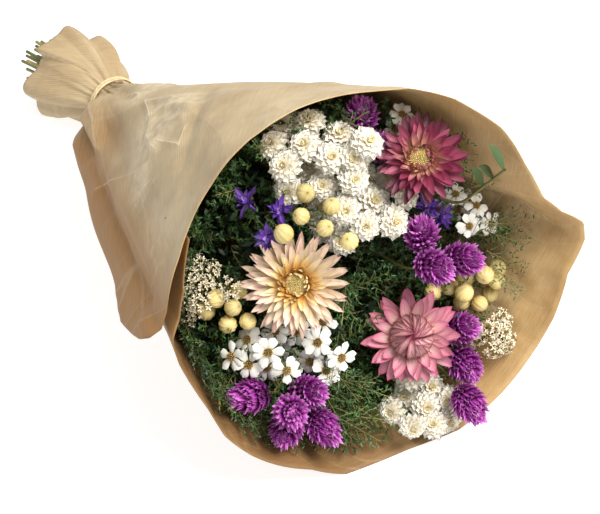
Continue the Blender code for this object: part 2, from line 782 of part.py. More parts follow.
def canary(plant):
    """A canary grass head: an oval of overlapping pointed scales on a thin stem."""
    rows = 4
    profile = [(0, -1 * MM, 0)]
    for row in range(rows):
        share = (row + 0.5) / rows
        breadth = CANARY_RADIUS * math.sin(math.pi * (share * 0.8 + 0.14)) ** 0.8
        profile.append((breadth, CANARY_LENGTH * share, 0.32))
    profile.append((0, CANARY_LENGTH, 0))
    body = lobed(profile, 5, aim(*plant["heads"][0]), twist=math.pi / 5)
    return union([body, tube(plant["stem"], STEM_RADIUS)])


HEAD_MAKERS = {"pod": pod, "larkspur": larkspur, "button": button, "daisy": daisy, "statice": statice}


def spray(name, plant):
    """A branching stem with a head on each branch, joined as one body."""
    make_head = HEAD_MAKERS[name.split("_")[0]]
    size = SPRAYS[name][4] * MM
    meshes = [tube(plant["stem"], STEM_RADIUS)]
    for i, (point, facing) in enumerate(plant["heads"]):
        meshes.append(make_head(size, aim(point, facing, turn=0.7 * i)))
    for (start, end), (_, facing) in zip(plant["forks"], plant["heads"]):
        end = end + aim(end, facing).col[0].xyz * BRANCH_OFFSET
        meshes.append(spike(start - (end - start).normalized() * MM / 2, end, BRANCH_RADIUS, BRANCH_RADIUS * 0.85))
    return union(meshes)


# --- Greenery ---------------------------------------------------------------------------------


def frond(plant):
    meshes = [tube(plant["stem"], STEM_RADIUS * 0.9)]
    for start, end in plant["needles"]:
        meshes.append(spike(start, end, NEEDLE_RADIUS * 1.1, NEEDLE_RADIUS * 0.8))
    return union(meshes)


def leaf(base, way, side, length):
    """A pointed oval leaf, folded a little along its rib."""
    normal = way.cross(side).normalized()
    bm = bmesh.new()
    rib = [bm.verts.new(base + way * length * share) for share in (0.0, 0.35, 0.7, 1.0)]
    for sign in (-1, 1):
        near, far = [
            bm.verts.new(base + way * length * share + side * sign * LEAF_WIDTH / 2 * wide + normal * 1.2 * MM)
            for share, wide in ((0.3, 1.0), (0.68, 0.75))
        ]
        for corners in ((rib[0], rib[1], near), (rib[1], rib[2], far, near), (rib[2], rib[3], far)):
            bm.faces.new(corners[::sign])
    blade = mesh_from(bm)
    return with_modifier(blade, "SOLIDIFY", thickness=0.8 * MM, offset=0, use_even_offset=True)


def leafy_stem(plant):
    meshes = [tube(plant["stem"], STEM_RADIUS)]
    for start, way, side, length in plant["leaves"]:
        meshes.append(leaf(start - way * 0.7 * MM, way, side, length))
    return union(meshes)


# --- Paper and tie ----------------------------------------------------------------------------


def kraft_wrap(to_world):
    """One sheet rolled to a cone, lapped on the left and gathered by the tie, flat where it lies."""
    skirt = [-NECK_BAND - share * (SKIRT_LENGTH - NECK_BAND) for share in (1, 0.6, 0.25, 0)]
    shares = (0, 0.045, 0.11, 0.24, 0.42, 0.6, 0.8, 1)
    corner = [262, 264, 266.5, 269.5, 273, 277, 282]
    bm = bmesh.new()
    columns = []
    for clock in corner + list(np.linspace(290, 360 + LAP_TO, 36)):
        rim_height, _ = rim_at(clock)
        cone = [NECK_BAND + share * (rim_height - NECK_BAND) for share in shares]
        line = []
        for height in skirt + cone:
            point = to_world @ paper_point(clock, height)
            point.z = max(point.z, PAPER / 2)
            line.append(bm.verts.new(point))
        columns.append(line)
    for near, far in zip(columns, columns[1:]):
        for low in range(len(near) - 1):
            bm.faces.new((near[low], near[low + 1], far[low + 1], far[low]))
    sheet = with_modifier(mesh_from(bm), "SOLIDIFY", thickness=PAPER, offset=0, use_even_offset=False)
    for vert in sheet.vertices:
        if vert.co.z < 0.06 * MM:
            vert.co.z = 0
    sheet.transform(to_world.inverted())
    return sheet


def raffia_tie():
    bpy.ops.mesh.primitive_torus_add(
        major_radius=TIE_RADIUS, minor_radius=TIE_THICKNESS, major_segments=20, minor_segments=5
    )
    ring_object = bpy.context.object
    mesh = ring_object.data.copy()
    bpy.data.objects.remove(ring_object)
    return mesh


# --- Assembly ---------------------------------------------------------------------------------

SPRAY_COLOURS = {
    "pod": "pod_straw",
    "larkspur": "larkspur_violet",
    "button": "button_white",
    "daisy": "daisy_white",
    "statice": "statice_cream",
}


def centre_over_origin(axis, pieces):
    """Move the bouquet sideways until the middle of its bounds is over the origin."""
    bpy.context.view_layer.update()
    points = np.array([piece.matrix_world @ vert.co for piece in pieces for vert in piece.data.vertices])
    middle = (points.min(axis=0) + points.max(axis=0)) / 2
    axis.location -= Vector((middle[0], middle[1], 0))


def build():
    clear_scene()
    axis = bpy.data.objects.new("bouquet_axis", None)
    bouquet = bpy.data.collections.new("dried_flower_bouquet")
    bpy.context.scene.collection.children.link(bouquet)
    bouquet.objects.link(axis)
    axis.rotation_euler = (math.pi / 2 - TILT, 0, 0)
    axis.location = (0, 0, TIE_HEIGHT)
    bpy.context.view_layer.update()
    materials = {name: make_material(name) for name in COLOURS}

    def add(name, mesh, material):
        obj = bpy.data.objects.new(name, mesh)
        mesh.name = name
        mesh.materials.clear()
        mesh.materials.append(materials[material])
        obj.parent = axis
        bouquet.objects.link(obj)

    plants = arrange()
    for name, plant in plants.items():
        kind = name.split("_")[0]
        if name in WHORLS:
            add(name + "_bracts", strawflower_bracts(name, plant), "petal_" + kind)
            add(name + "_stem", tube(plant["stem"], STEM_RADIUS), "stem_green")
        elif kind == "canary":
            add(name, canary(plant), "canary_purple")
        elif kind == "leaf":
            add(name, leafy_stem(plant), "leaf_green")
        elif kind == "fern":
            add(name, frond(plant), "fern_green")
        else:
            add(name, spray(name, plant), SPRAY_COLOURS[kind])
    add("peach_strawflower_heart", strawflower_heart(plants["peach_strawflower"], 6.5 * MM, 4 * MM, 7), "disc_yellow")
    add("pink_strawflower_heart", strawflower_heart(plants["pink_strawflower"], 11 * MM, 10 * MM, 9), "petal_pink")
    add(
        "burgundy_strawflower_heart",
        strawflower_heart(plants["burgundy_strawflower"], 5.5 * MM, 3.5 * MM, 7),
        "disc_yellow",
    )
    add("kraft_wrap", kraft_wrap(axis.matrix_world.copy()), "kraft_paper")
    add("raffia_tie", raffia_tie(), "raffia")
    centre_over_origin(axis, [obj for obj in bouquet.objects if obj.type == "MESH"])


build()
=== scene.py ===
"""The looks of a dried flower bouquet in kraft paper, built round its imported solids. Metres, +Z up.

The bouquet is arranged by the same rules as its solids, so every head, branch and needle here lies
where its solid does. Then each plant gets its real petals, florets and leaflets, and the paper its
creases. Everything is laid out in the bouquet's own frame: local +Z runs up the bouquet to its
mouth, local +Y is up and local +X is to the right as one looks into the mouth.
"""

import math
import random

import bpy
import numpy as np
from mathutils import Matrix, Vector, noise


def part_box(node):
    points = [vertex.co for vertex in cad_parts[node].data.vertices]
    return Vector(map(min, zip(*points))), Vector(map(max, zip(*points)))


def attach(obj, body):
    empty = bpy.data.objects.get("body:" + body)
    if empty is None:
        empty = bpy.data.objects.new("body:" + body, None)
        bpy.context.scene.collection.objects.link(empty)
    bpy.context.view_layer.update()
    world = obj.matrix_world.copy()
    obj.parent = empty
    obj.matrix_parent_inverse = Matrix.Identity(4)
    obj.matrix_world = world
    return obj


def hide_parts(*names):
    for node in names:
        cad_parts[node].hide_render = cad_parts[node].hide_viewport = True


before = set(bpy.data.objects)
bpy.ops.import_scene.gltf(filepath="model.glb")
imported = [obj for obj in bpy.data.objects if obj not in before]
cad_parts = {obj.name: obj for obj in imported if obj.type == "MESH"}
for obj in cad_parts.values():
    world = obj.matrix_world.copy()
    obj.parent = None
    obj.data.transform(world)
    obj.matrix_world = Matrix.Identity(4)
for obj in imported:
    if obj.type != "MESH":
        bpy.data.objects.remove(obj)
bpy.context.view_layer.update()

MM = 0.001
GOLDEN_ANGLE = math.radians(137.508)

# How the bouquet lies.
TILT = math.radians(13.5)  # the mouth end is lifted this much
TIE_HEIGHT = 33.5 * MM

# The side that the bouquet shows. Heads lean this way, and slide along it to find room.
FRONT = Vector((-0.377, 0.556, 0.741)).normalized()
ACROSS = Vector((0.843, -0.125, 0.522))
ACROSS = (ACROSS - ACROSS.dot(FRONT) * FRONT).normalized()
UPWARD = FRONT.cross(ACROSS)

# The bundle of stems.
STEM_PITCH = 2.45 * MM  # between the middles of two bound stems
STEM_RADIUS = 1.0 * MM
BRANCH_RADIUS = 0.7 * MM
NECK_HALF = 11 * MM  # the stems run side by side this far each way from the tie
CUT_HEIGHT = -78 * MM
CUT_SPREAD = 1.8  # how much wider the bundle is at the cut ends
HANDLE_LEAN = Vector((-12 * MM, 3 * MM, 0))  # sideways shift of the bundle at the cut ends

# The kraft paper.
PAPER = 0.8 * MM
LAP_FROM, LAP_TO = 262, 302  # clock angles of the sheet's two edges, which lap
LAP_GAP = 2.4 * MM  # between the middles of the two layers
PLEAT_DEPTH = 0.8 * MM
BELLY = 17 * MM  # how far the sheet swells on the left, between tie and rim
SHOULDER = 11 * MM  # how far it stands out just past the tie
SKIRT_LENGTH = 50 * MM
SKIRT_FLARE = 19 * MM
NECK_BAND = 2.5 * MM  # the paper is straight this far each way from the tie
FIT = 0.4 * MM  # between pieces that lie against each other
TIE_THICKNESS = 1.0 * MM

# Least distance between plants, and between a plant and the paper's middle.
ELBOW_ROOM = 0.35 * MM
PAPER_ROOM = 1.8 * MM

# Where the middle of each bloom, spray or frond tip is: clock angle in degrees, radius and height in mm,
# then how far it turns from FRONT along ACROSS and UPWARD. Each kind is arranged in this order.
LAYOUT = {
    "peach_strawflower": (293, 28, 263, 0.0, 0.0),
    "pink_strawflower": (144, 52, 279, 0.0, 0.0),
    "burgundy_strawflower": (54, 77, 254, -0.1, 0.15),
    "canary_right_upper": (73, 50, 273, -0.1, 0.5),
    "canary_right_middle": (98, 51, 277, 0.6, -0.3),
    "canary_right_outer": (98, 70, 279, 0.8, -0.1),
    "canary_top_outer": (25, 89, 243, 0.0, 0.5),
    "canary_top_middle": (35, 73, 249, 0.3, 0.3),
    "canary_bottom_left": (236, 78, 263, -1.1, -0.1),
    "canary_bottom_top": (212, 61, 273, 0.55, -0.1),
    "canary_bottom_middle": (224, 71, 281, 0.1, -0.1),
    "canary_bottom_low": (219, 86, 272, -0.2, -0.5),
    "canary_bottom_right": (203, 79, 280, 0.7, -0.7),
    "canary_low_upper": (129, 79, 283, 0.6, 0.1),
    "canary_low_middle": (141, 91, 288, 0.35, -0.6),
    "canary_low_outer": (150, 103, 296, 0.5, -0.8),
    "pod_spray_middle": (342, 48, 272, -0.1, 0.1),
    "pod_spray_left": (271, 59, 243, -0.3, 0.0),
    "pod_spray_right": (116, 72, 276, 0.3, -0.1),
    "pod_spray_outer": (110, 90, 280, 0.4, 0.0),
    "larkspur_left": (327, 53, 245, -0.2, 0.1),
    "larkspur_right": (81, 66, 259, 0.3, 0.2),
    "button_spray_top": (5, 69, 249, -0.1, 0.25),
    "button_spray_middle": (30, 46, 259, 0.1, 0.1),
    "button_spray_bottom": (164, 86, 288, 0.0, -0.25),
    "daisy_spray_left": (248, 57, 261, -0.25, -0.1),
    "daisy_spray_middle": (220, 37, 263, 0.0, -0.1),
    "daisy_spray_right": (82, 85, 264, 0.2, 0.2),
    "daisy_spray_top": (37, 93, 247, 0.1, 0.4),
    "statice_left": (277, 66, 225, -0.4, 0.2),
    "statice_right": (127, 96, 292, 0.5, -0.3),
    "leaf_sprig": (62, 95, 287, 0.6, 0.5),
    "fern_left_top": (351, 72, 217, 0.0, 0.4),
    "fern_left_upper": (327, 60, 212, -0.3, 0.3),
    "fern_left_lower": (297, 57, 212, -0.5, 0.0),
    "fern_top": (20, 86, 235, 0.1, 0.6),
    "fern_top_right": (46, 94, 243, 0.3, 0.5),
    "fern_centre": (140, 15, 258, 0.0, 0.0),
    "fern_low_left": (193, 58, 265, -0.1, -0.3),
    "fern_low_middle": (174, 67, 267, 0.1, -0.4),
    "fern_low_outer": (188, 92, 271, 0.0, -0.8),
    "fern_rim_left": (238, 90, 254, -0.6, -0.6),
    "fern_rim_low": (212, 88, 266, -0.3, -0.9),
    "fern_right": (96, 101, 270, 0.9, 0.2),
    "fern_right_low": (142, 76, 270, 0.3, -0.5),
    "fern_right_top": (60, 100, 256, 0.6, 0.7),
}

# The sprays: number of heads, then in mm the spread of the heads, the fall from the middle one to the
# outer ones, the depth at which their branches part, and the radius of one head.
SPRAYS = {
    "pod_spray_middle": (7, 20, 4, 34, 5.0),
    "pod_spray_left": (6, 14, 4, 36, 5.0),
    "pod_spray_right": (6, 12, 4, 40, 5.0),
    "pod_spray_outer": (4, 9, 3, 40, 5.0),
    "larkspur_left": (3, 19, 3, 36, 7.0),
    "larkspur_right": (2, 7, 2, 34, 7.5),
    "button_spray_top": (11, 30, 8, 48, 8.0),
    "button_spray_middle": (9, 26, 7, 46, 8.0),
    "button_spray_bottom": (8, 20, 5, 40, 7.0),
    "daisy_spray_left": (6, 18, 4, 36, 7.4),
    "daisy_spray_middle": (6, 17, 4, 36, 7.4),
    "daisy_spray_right": (7, 19, 6, 44, 6.2),
    "daisy_spray_top": (3, 9, 3, 36, 6.0),
    "statice_left": (8, 16, 8, 30, 3.4),
    "statice_right": (6, 12, 5, 30, 3.4),
}

CANARY_LENGTH = 27 * MM
CANARY_RADIUS = 8.4 * MM

FROND_NEEDLES = 10
FROND_LENGTH = 58 * MM
NEEDLE_LENGTH = 15 * MM
NEEDLE_RADIUS = 0.5 * MM

LEAF_PAIRS = 3
LEAF_LENGTH = 17 * MM
LEAF_WIDTH = 8.5 * MM

CUP_DEPTH = 7 * MM  # of the cup that holds a strawflower's heart

# How far the widest bracts of a strawflower reach from its middle, in mm.
BLOOM_REACH = {"peach_strawflower": 29, "pink_strawflower": 29, "burgundy_strawflower": 26}

# The rim of the sheet from its outer edge to its inner one: clock angle, then height and radius in mm.
RIM = [
    (262, 196, 99), (265, 216, 101), (268, 231, 102), (271, 241, 100), (274, 245, 94),
    (279, 244, 90), (286, 242, 88), (297, 239, 85), (325, 236, 86), (344, 236, 91),
    (372, 243, 97), (383, 253, 104), (391, 263, 111), (399, 279, 115), (412, 294, 114),
    (424, 301, 109), (435, 307, 108), (442, 309, 115), (448, 311, 126), (453, 311, 126),
    (463, 307, 119), (476, 306, 118), (490, 303, 115), (509, 298, 113), (520, 294, 114),
    (534, 290, 111), (550, 288, 107), (567, 287, 100), (593, 285, 99), (602, 280, 100),
    (611, 273, 98), (626, 260, 98), (632, 254, 96), (637, 249, 88), (644, 244, 83),
    (662, 230, 78),
]


# --- Places -----------------------------------------------------------------------------------


def clock_point(clock, radius, height):
    """A point in the bouquet's frame, from a clock angle in degrees and two lengths in metres."""
    angle = math.radians(clock)
    return Vector((radius * math.sin(angle), radius * math.cos(angle), height))


def place_of(name):
    """(point, direction) of a LAYOUT entry in the bouquet's frame."""
    clock, radius, height, across, upward = LAYOUT[name]
    direction = FRONT + across * ACROSS + upward * UPWARD
    return clock_point(clock, radius * MM, height * MM), direction.normalized()


def aim(point, direction, turn=0.0):
    """A matrix that stands a shape at point with its +Z along direction and its +X near ACROSS."""
    z = direction.normalized()
    x = (ACROSS - ACROSS.dot(z) * z).normalized()
    turned = Matrix((x, z.cross(x), z)).transposed() @ Matrix.Rotation(turn, 3, "Z")
    return Matrix.Translation(point) @ turned.to_4x4()


def bound_places():
    """Where each stem runs through the tie: the heads' layout drawn in, then pushed apart to STEM_PITCH."""
    places = np.array([place_of(name)[0][:2] for name in LAYOUT]) * 0.1
    steps = 900
    for step in range(steps):
        if step < steps * 0.8:
            places *= 0.995
        offsets = places[:, None] - places[None]
        distances = np.hypot(offsets[..., 0], offsets[..., 1]) + np.eye(len(places))
        push = np.clip(STEM_PITCH - distances, 0, None) / distances / 2
        np.fill_diagonal(push, 0)
        places += (offsets * push[..., None]).sum(axis=1) * 0.9
    return {name: Vector((*place, 0)) for name, place in zip(LAYOUT, places)}


NECK = bound_places()
BUNDLE_RADIUS = max(place.length for place in NECK.values()) + STEM_RADIUS
NECK_RADIUS = BUNDLE_RADIUS + FIT + 0.6 * PLEAT_DEPTH + PAPER / 2  # to the middle of the inner layer
TIE_RADIUS = NECK_RADIUS + PLEAT_DEPTH + LAP_GAP + PAPER / 2 + FIT + TIE_THICKNESS


# --- Shape of the paper -----------------------------------------------------------------------


def ease(value, low, high):
    """A smooth step from 0 at low to 1 at high."""
    share = max(0.0, min(1.0, (value - low) / (high - low)))
    return share * share * (3 - 2 * share)


def swell(value, low, middle, high):
    """A smooth bump from 0 at low through 1 at middle to 0 at high."""
    return ease(value, low, middle) if value < middle else 1 - ease(value, middle, high)


def rim_at(clock):
    """(height, radius) of the sheet's rim at a clock angle from LAP_FROM to 360 + LAP_TO."""
    clocks, heights, radii = zip(*RIM)
    return float(np.interp(clock, clocks, heights)) * MM, float(np.interp(clock, clocks, radii)) * MM


def paper_radius(clock, height):
    """How far the middle of the paper is from the axis at a clock angle and a height."""
    angle = math.radians(clock)
    pleat = 0.62 * math.sin(8 * angle + 0.5) + 0.38 * math.sin(5 * angle + 1.9)
    lap = max(0.0, min(1.0, (LAP_TO + 45 - clock) / 45)) * LAP_GAP
    radius = NECK_RADIUS + lap
    if height > NECK_BAND:
        rim_height, rim_radius = rim_at(clock)
        share = (height - NECK_BAND) / (rim_height - NECK_BAND)
        radius += (rim_radius - NECK_RADIUS) * share
        belly = ease(share, 0, 0.12) * (1 - ease(share, 0.2, 0.85))
        radius += BELLY * belly * swell(clock % 360, 190, 246, 302)
        shoulder = swell(height, NECK_BAND, 22 * MM, 75 * MM)
        radius += SHOULDER * shoulder * swell(clock % 360, 230, 290, 340)
        radius += 4 * MM * swell(share, 0.1, 0.55, 1.0)
        return radius + pleat * (PLEAT_DEPTH + 2.2 * MM * swell(height, NECK_BAND, 40 * MM, 130 * MM))
    if height < -NECK_BAND:
        share = min(1.0, (-height - NECK_BAND) / (SKIRT_LENGTH - NECK_BAND))
        radius += SKIRT_FLARE * math.sin(share * math.pi / 2) ** 1.2
        return radius + pleat * (PLEAT_DEPTH + 2.6 * MM * share)
    return radius + pleat * PLEAT_DEPTH


def lean_at(height):
    """How far the sheet leans sideways at a height, below the tie."""
    return HANDLE_LEAN * max(0.0, height / CUT_HEIGHT) ** 2


def paper_point(clock, height):
    """A point of the middle of the paper. Below the tie the sheet leans as the stems do."""
    return clock_point(clock, paper_radius(clock, height), height) + lean_at(height)


def above_ground(point):
    """Height over the ground of a point in the bouquet's frame."""
    return TIE_HEIGHT + point[1] * math.cos(TILT) + point[2] * math.sin(TILT)


def inside_paper(point, radius):
    """Whether a ball round point is clear of the ground and of the paper, where there is any."""
    if above_ground(point) < radius + PAPER + PAPER_ROOM:
        return False
    shift = lean_at(point[2])
    x, y = point[0] - shift.x, point[1] - shift.y
    clock = math.degrees(math.atan2(x, y)) % 360
    clock += 360 if clock < LAP_TO else 0
    if point[2] > rim_at(clock)[0] + radius:
        return True
    return math.hypot(x, y) + radius + PAPER_ROOM < paper_radius(clock, point[2])


# --- Arranging --------------------------------------------------------------------------------


class Room:
    """The room already filled, as rods with round ends and as shallow blooms, each with an owner."""

    def __init__(self):
        self.rods = np.zeros((4000, 8))  # start, end, radius and owner's number
        self.count = 0
        self.blooms = []

    def fill(self, owner, start, end, radius):
        """Takes up a rod."""
        self.rods[self.count] = (*start, *end, radius, owner)
        self.count += 1

    def fill_bloom(self, owner, centre, axis, radius, behind, before):
        """Takes up a disc that reaches behind and before its centre."""
        self.blooms.append((owner, np.array(centre), np.array(axis), radius, behind, before))

    def is_clear(self, owner, start, end, radius):
        """Whether a rod keeps ELBOW_ROOM from all that others own, and stays inside the paper."""
        length = (end - start).length
        points = np.linspace(start, end, 2 + int(length / MM))
        if not all(inside_paper(point, radius) for point in points[:: max(1, len(points) // 8)]):
            return False
        reach = radius + ELBOW_ROOM
        rods = self.rods[: self.count]
        low, high = points.min(axis=0) - reach, points.max(axis=0) + reach
        starts, ends, radii = rods[:, 0:3], rods[:, 3:6], rods[:, 6]
        near = (np.minimum(starts, ends) - radii[:, None] < high).all(axis=1)
        near &= (np.maximum(starts, ends) + radii[:, None] > low).all(axis=1)
        near &= rods[:, 7] != owner
        if near.any():
            starts, radii = starts[near], radii[near]
            runs = ends[near] - starts
            offsets = points[:, None] - starts[None]
            lengths = np.maximum((runs * runs).sum(axis=1), 1e-12)
            shares = np.clip((offsets * runs).sum(axis=2) / lengths, 0, 1)
            gaps = np.linalg.norm(offsets - shares[..., None] * runs, axis=2) - radii
            if gaps.min() < reach:
                return False
        for other, centre, axis, wide, behind, before in self.blooms:
            if other != owner:
                offsets = points - centre
                heights = offsets @ axis
                across = np.linalg.norm(offsets - heights[:, None] * axis, axis=1)
                within = (heights > -behind - reach) & (heights < before + reach) & (across < wide + reach)
                if within.any():
                    return False
        return True


SLIDES = [step * 3 * MM for step in (0, 1, -1, 2, -2, 3, -3, 4, -4, 5, -5, 6, -6, 7, 8, 9)]
SIDESTEPS = [(0, 0)] + [
    (reach * math.cos(turn * math.tau / 8), reach * math.sin(turn * math.tau / 8))
    for reach in (4 * MM, 8 * MM, 13 * MM, 19 * MM, 27 * MM)
    for turn in range(8)
]
NUDGES = SIDESTEPS[:17]
BENDS = (14 * MM, 26 * MM, 40 * MM, 60 * MM, 90 * MM, 120 * MM)  # from a head down to its stem's knee


def slide(room, owner, point, offset, radius):
    """The nearest spot, along FRONT at best, at which a rod from it to it + offset has room, if any."""
    for across, upward in NUDGES:
        for step in SLIDES:
            moved = point + FRONT * step + ACROSS * across + UPWARD * upward
            if room.is_clear(owner, moved, moved + offset, radius):
                return moved
    return None


def lower_stem(name):
    """The run of a stem through the tie to its cut end."""
    place = NECK[name]
    ragged = (list(LAYOUT).index(name) * 5 % 9 - 4) * 1.5 * MM
    end = place * CUT_SPREAD + HANDLE_LEAN
    return [
        place + Vector((0, 0, NECK_HALF)),
        place - Vector((0, 0, NECK_HALF)),
        end + Vector((0, 0, CUT_HEIGHT + ragged)),
    ]


def find_knee(room, owner, top, bottom, direction):
    """Where a stem bends on its way from top to bottom: the first place that leaves both runs room."""
    for bend in BENDS:
        for across, upward in SIDESTEPS:
            knee = top - direction * bend + ACROSS * across + UPWARD * upward
            if room.is_clear(owner, top, knee, STEM_RADIUS):
                if room.is_clear(owner, knee, bottom, STEM_RADIUS):
                    return knee
    return top - direction * BENDS[0]


def grow_stem(room, name, owner, top, direction):
    """A stem from top to its cut end."""
    below = lower_stem(name)
    stem = [top, find_knee(room, owner, top, below[0], direction), *below]
    for start, end in zip(stem, stem[1:]):
        room.fill(owner, start, end, STEM_RADIUS)
    return stem


def arrange_strawflower(room, name, owner):
    """One wide bloom, slid along FRONT until all its edge is inside the paper."""
    point, direction = place_of(name)
    reach = BLOOM_REACH[name] * MM * 1.04
    for step in SLIDES:
        if all(inside_paper(aim(point + FRONT * step, direction) @ rim, 1 * MM) for rim in ring(reach)):
            point = point + FRONT * step
            break
    room.fill_bloom(owner, point, direction, reach, 5 * MM, 10 * MM)
    room.fill(owner, point, point - direction * CUP_DEPTH, 8 * MM)
    stem = grow_stem(room, name, owner, point - direction * (CUP_DEPTH + FIT), direction)
    return {"heads": [(point, direction)], "stem": stem}


def ring(radius):
    """Eight points round a bloom's edge, in the bloom's own frame."""
    return [Matrix.Rotation(turn * math.tau / 8, 3, "Z") @ Vector((radius, 0, 0)) for turn in range(8)]


def arrange_canary(room, name, owner):
    """One upright grass head on its stem."""
    centre, direction = place_of(name)
    low = centre - direction * (CANARY_LENGTH / 2 - CANARY_RADIUS)
    rise = direction * (CANARY_LENGTH - 2 * CANARY_RADIUS)
    found = slide(room, owner, low, rise, CANARY_RADIUS) or low
    room.fill(owner, found, found + rise, CANARY_RADIUS)
    base = found - direction * CANARY_RADIUS
    stem = grow_stem(room, name, owner, base + direction * 2 * MM, direction)
    return {"heads": [(base, direction)], "stem": stem}


def arrange_spray(room, name, owner):
    """Heads on a sunflower spiral laid over a low dome, each slid to where it and its branch have room."""
    count, spread, fall, depth, head_radius = SPRAYS[name]
    centre, direction = place_of(name)
    stand = aim(centre, direction)
    ray = (centre - lower_stem(name)[0]).normalized()
    hub = centre - (ray + direction).normalized() * depth * MM
    stem = grow_stem(room, name, owner, hub, (ray + direction).normalized())
    lower_joints = [stem[1].lerp(stem[2], share) for share in (0, 0.08, 0.16)]
    heads, forks = [], []
    for i in range(count):
        radius = math.sqrt((i + 0.5) / count)
        angle = i * GOLDEN_ANGLE
        across, along = radius * math.cos(angle), radius * math.sin(angle)
        spot = stand @ (Vector((across * spread, along * spread, -fall * radius**2)) * MM)
        facing = (stand.to_3x3() @ Vector((across, along, 1.6))).normalized()
        joint = stem[0].lerp(stem[1], 0.05 + 0.9 * i / count)
        reach = head_radius * 0.9 * MM
        found = place_head(room, owner, spot, reach, [joint, *lower_joints], [head for head, _ in heads])
        if found is None:
            continue
        spot, joint = found
        heads.append((spot, facing))
        forks.append((joint, spot))
        room.fill(owner, spot, spot, reach)
        room.fill(owner, joint, spot, BRANCH_RADIUS)
    return {"heads": heads, "forks": forks, "stem": stem}


def place_head(room, owner, spot, radius, joints, neighbours):
    """(spot, joint) with room for a head near spot and for its branch from a joint, or None."""
    for across, upward in NUDGES:
        for step in SLIDES[:9]:
            moved = spot + FRONT * step + ACROSS * across + UPWARD * upward
            if any((moved - other).length < 2.25 * radius for other in neighbours):
                continue
            if room.is_clear(owner, moved, moved, radius):
                for joint in joints:
                    if room.is_clear(owner, joint, moved, BRANCH_RADIUS):
                        return moved, joint
    return None


def arrange_leaves(room, name, owner):
    """Pairs of broad leaves near the tip of a stem."""
    tip, direction = place_of(name)
    twig = direction * 30 * MM
    tip = (slide(room, owner, tip - twig, twig, LEAF_WIDTH) or tip - twig) + twig
    stem = grow_stem(room, name, owner, tip - twig, direction)
    stand = aim(tip, direction).to_3x3()
    leaves = []
    for i in range(LEAF_PAIRS):
        start = tip - direction * (10 * i + 1) * MM
        for sign in (-1, 1):
            way = (stand @ Vector((sign * 0.75, 0.55 - 0.5 * (i % 2), 0.45))).normalized()
            length = LEAF_LENGTH * (1 - 0.12 * i)
            middle, end = start + way * length * 0.3, start + way * length
            if room.is_clear(owner, middle, end, LEAF_WIDTH * 0.4):
                leaves.append((start, way, direction.cross(way).normalized(), length))
                room.fill(owner, middle, end, LEAF_WIDTH * 0.4)
    return {"leaves": leaves, "stem": [tip, *stem]}


def polar(angle, pitch):
    """A unit vector at an angle round +Z and a pitch away from it."""
    return Vector((math.cos(angle) * math.sin(pitch), math.sin(angle) * math.sin(pitch), math.cos(pitch)))


def arrange_frond(room, name, owner):
    """A plume: needles all round the last stretch of a thin stem, shortened where there is no room."""
    rng = random.Random(name)
    tip, direction = place_of(name)
    lean = ((tip - lower_stem(name)[0]).normalized() * 2 + direction).normalized()
    base = tip - lean * FROND_LENGTH
    base = slide(room, owner, base, tip - base, 2 * STEM_RADIUS) or base
    tip = base + lean * FROND_LENGTH
    stem = grow_stem(room, name, owner, base, lean)
    room.fill(owner, base, tip, STEM_RADIUS)
    stand = aim(base, lean).to_3x3()
    needles = []
    for i in range(FROND_NEEDLES):
        share = 0.1 + 0.9 * i / (FROND_NEEDLES - 1)
        start = base.lerp(tip, share)
        angle = i * GOLDEN_ANGLE + rng.uniform(-0.3, 0.3)
        pitch = math.radians(58 - 22 * share)
        way = stand @ polar(angle, pitch)
        bulge = 0.75 + 0.35 * math.sin(math.pi * min(1, share + 0.15))
        length = NEEDLE_LENGTH * bulge * rng.uniform(0.85, 1.1)
        for cut in (1.0, 0.75, 0.55):
            end = start + way * length * cut
            if room.is_clear(owner, start, end, NEEDLE_RADIUS):
                needles.append((start, end))
                room.fill(owner, start, end, NEEDLE_RADIUS)
                break
    return {"needles": needles, "stem": [tip, *stem]}


ARRANGERS = {
    "peach": arrange_strawflower,
    "pink": arrange_strawflower,
    "burgundy": arrange_strawflower,
    "canary": arrange_canary,
    "leaf": arrange_leaves,
    "fern": arrange_frond,
}


def arrange():
    """Every plant of LAYOUT with the places of its stem and of what grows on it."""
    room = Room()
    for owner, name in enumerate(LAYOUT):
        for start, end in zip(lower_stem(name), lower_stem(name)[1:]):
            room.fill(owner, start, end, STEM_RADIUS)
    plants = {}
    for owner, name in enumerate(LAYOUT):
        arranger = ARRANGERS.get(name.split("_")[0], arrange_spray)
        plants[name] = arranger(room, name, owner)
    return plants


# --- Small shapes -----------------------------------------------------------------------------

RNG = np.random.default_rng(11)
ASIDE = (0.31, 0.87, 0.38)  # a direction across which rods and leaflets are laid
CORNER_STEPS = 4  # stretches that round off a corner of a path


def quads(rows, columns):
    """The quads of a grid of points that is listed row by row."""
    corner = (np.arange(rows)[:, None] * (columns + 1) + np.arange(columns)).ravel()
    return np.stack([corner, corner + 1, corner + columns + 2, corner + columns + 1], axis=1)


def shape_of(points, rows, columns):
    """A shape: points, quads, and how far along and across each point lies, from 0 to 1."""
    along, across = np.meshgrid(np.linspace(0, 1, rows + 1), np.linspace(0, 1, columns + 1), indexing="ij")
    return points.reshape(-1, 3), quads(rows, columns), np.stack([along.ravel(), across.ravel()], axis=1)


def pointed(t, power=3.0, root=0.45):
    """Half width of a pointed petal, as a share of its widest."""
    return np.minimum(1, root + 1.6 * t) * (1 - t**power) ** 0.7


def rounded(t, root=0.3):
    """Half width of a round-ended petal, as a share of its widest."""
    return (root + (1 - root) * np.sin(np.pi / 2 * np.minimum(1, t * 1.25))) * np.sqrt(1 - t**5)


def blunt(t):
    """Half width of a round-ended petal with a broad root."""
    return rounded(t, 0.4)


def slim(t):
    """Half width of a petal with a narrow root and a long point."""
    return pointed(t, 2.2, 0.2)


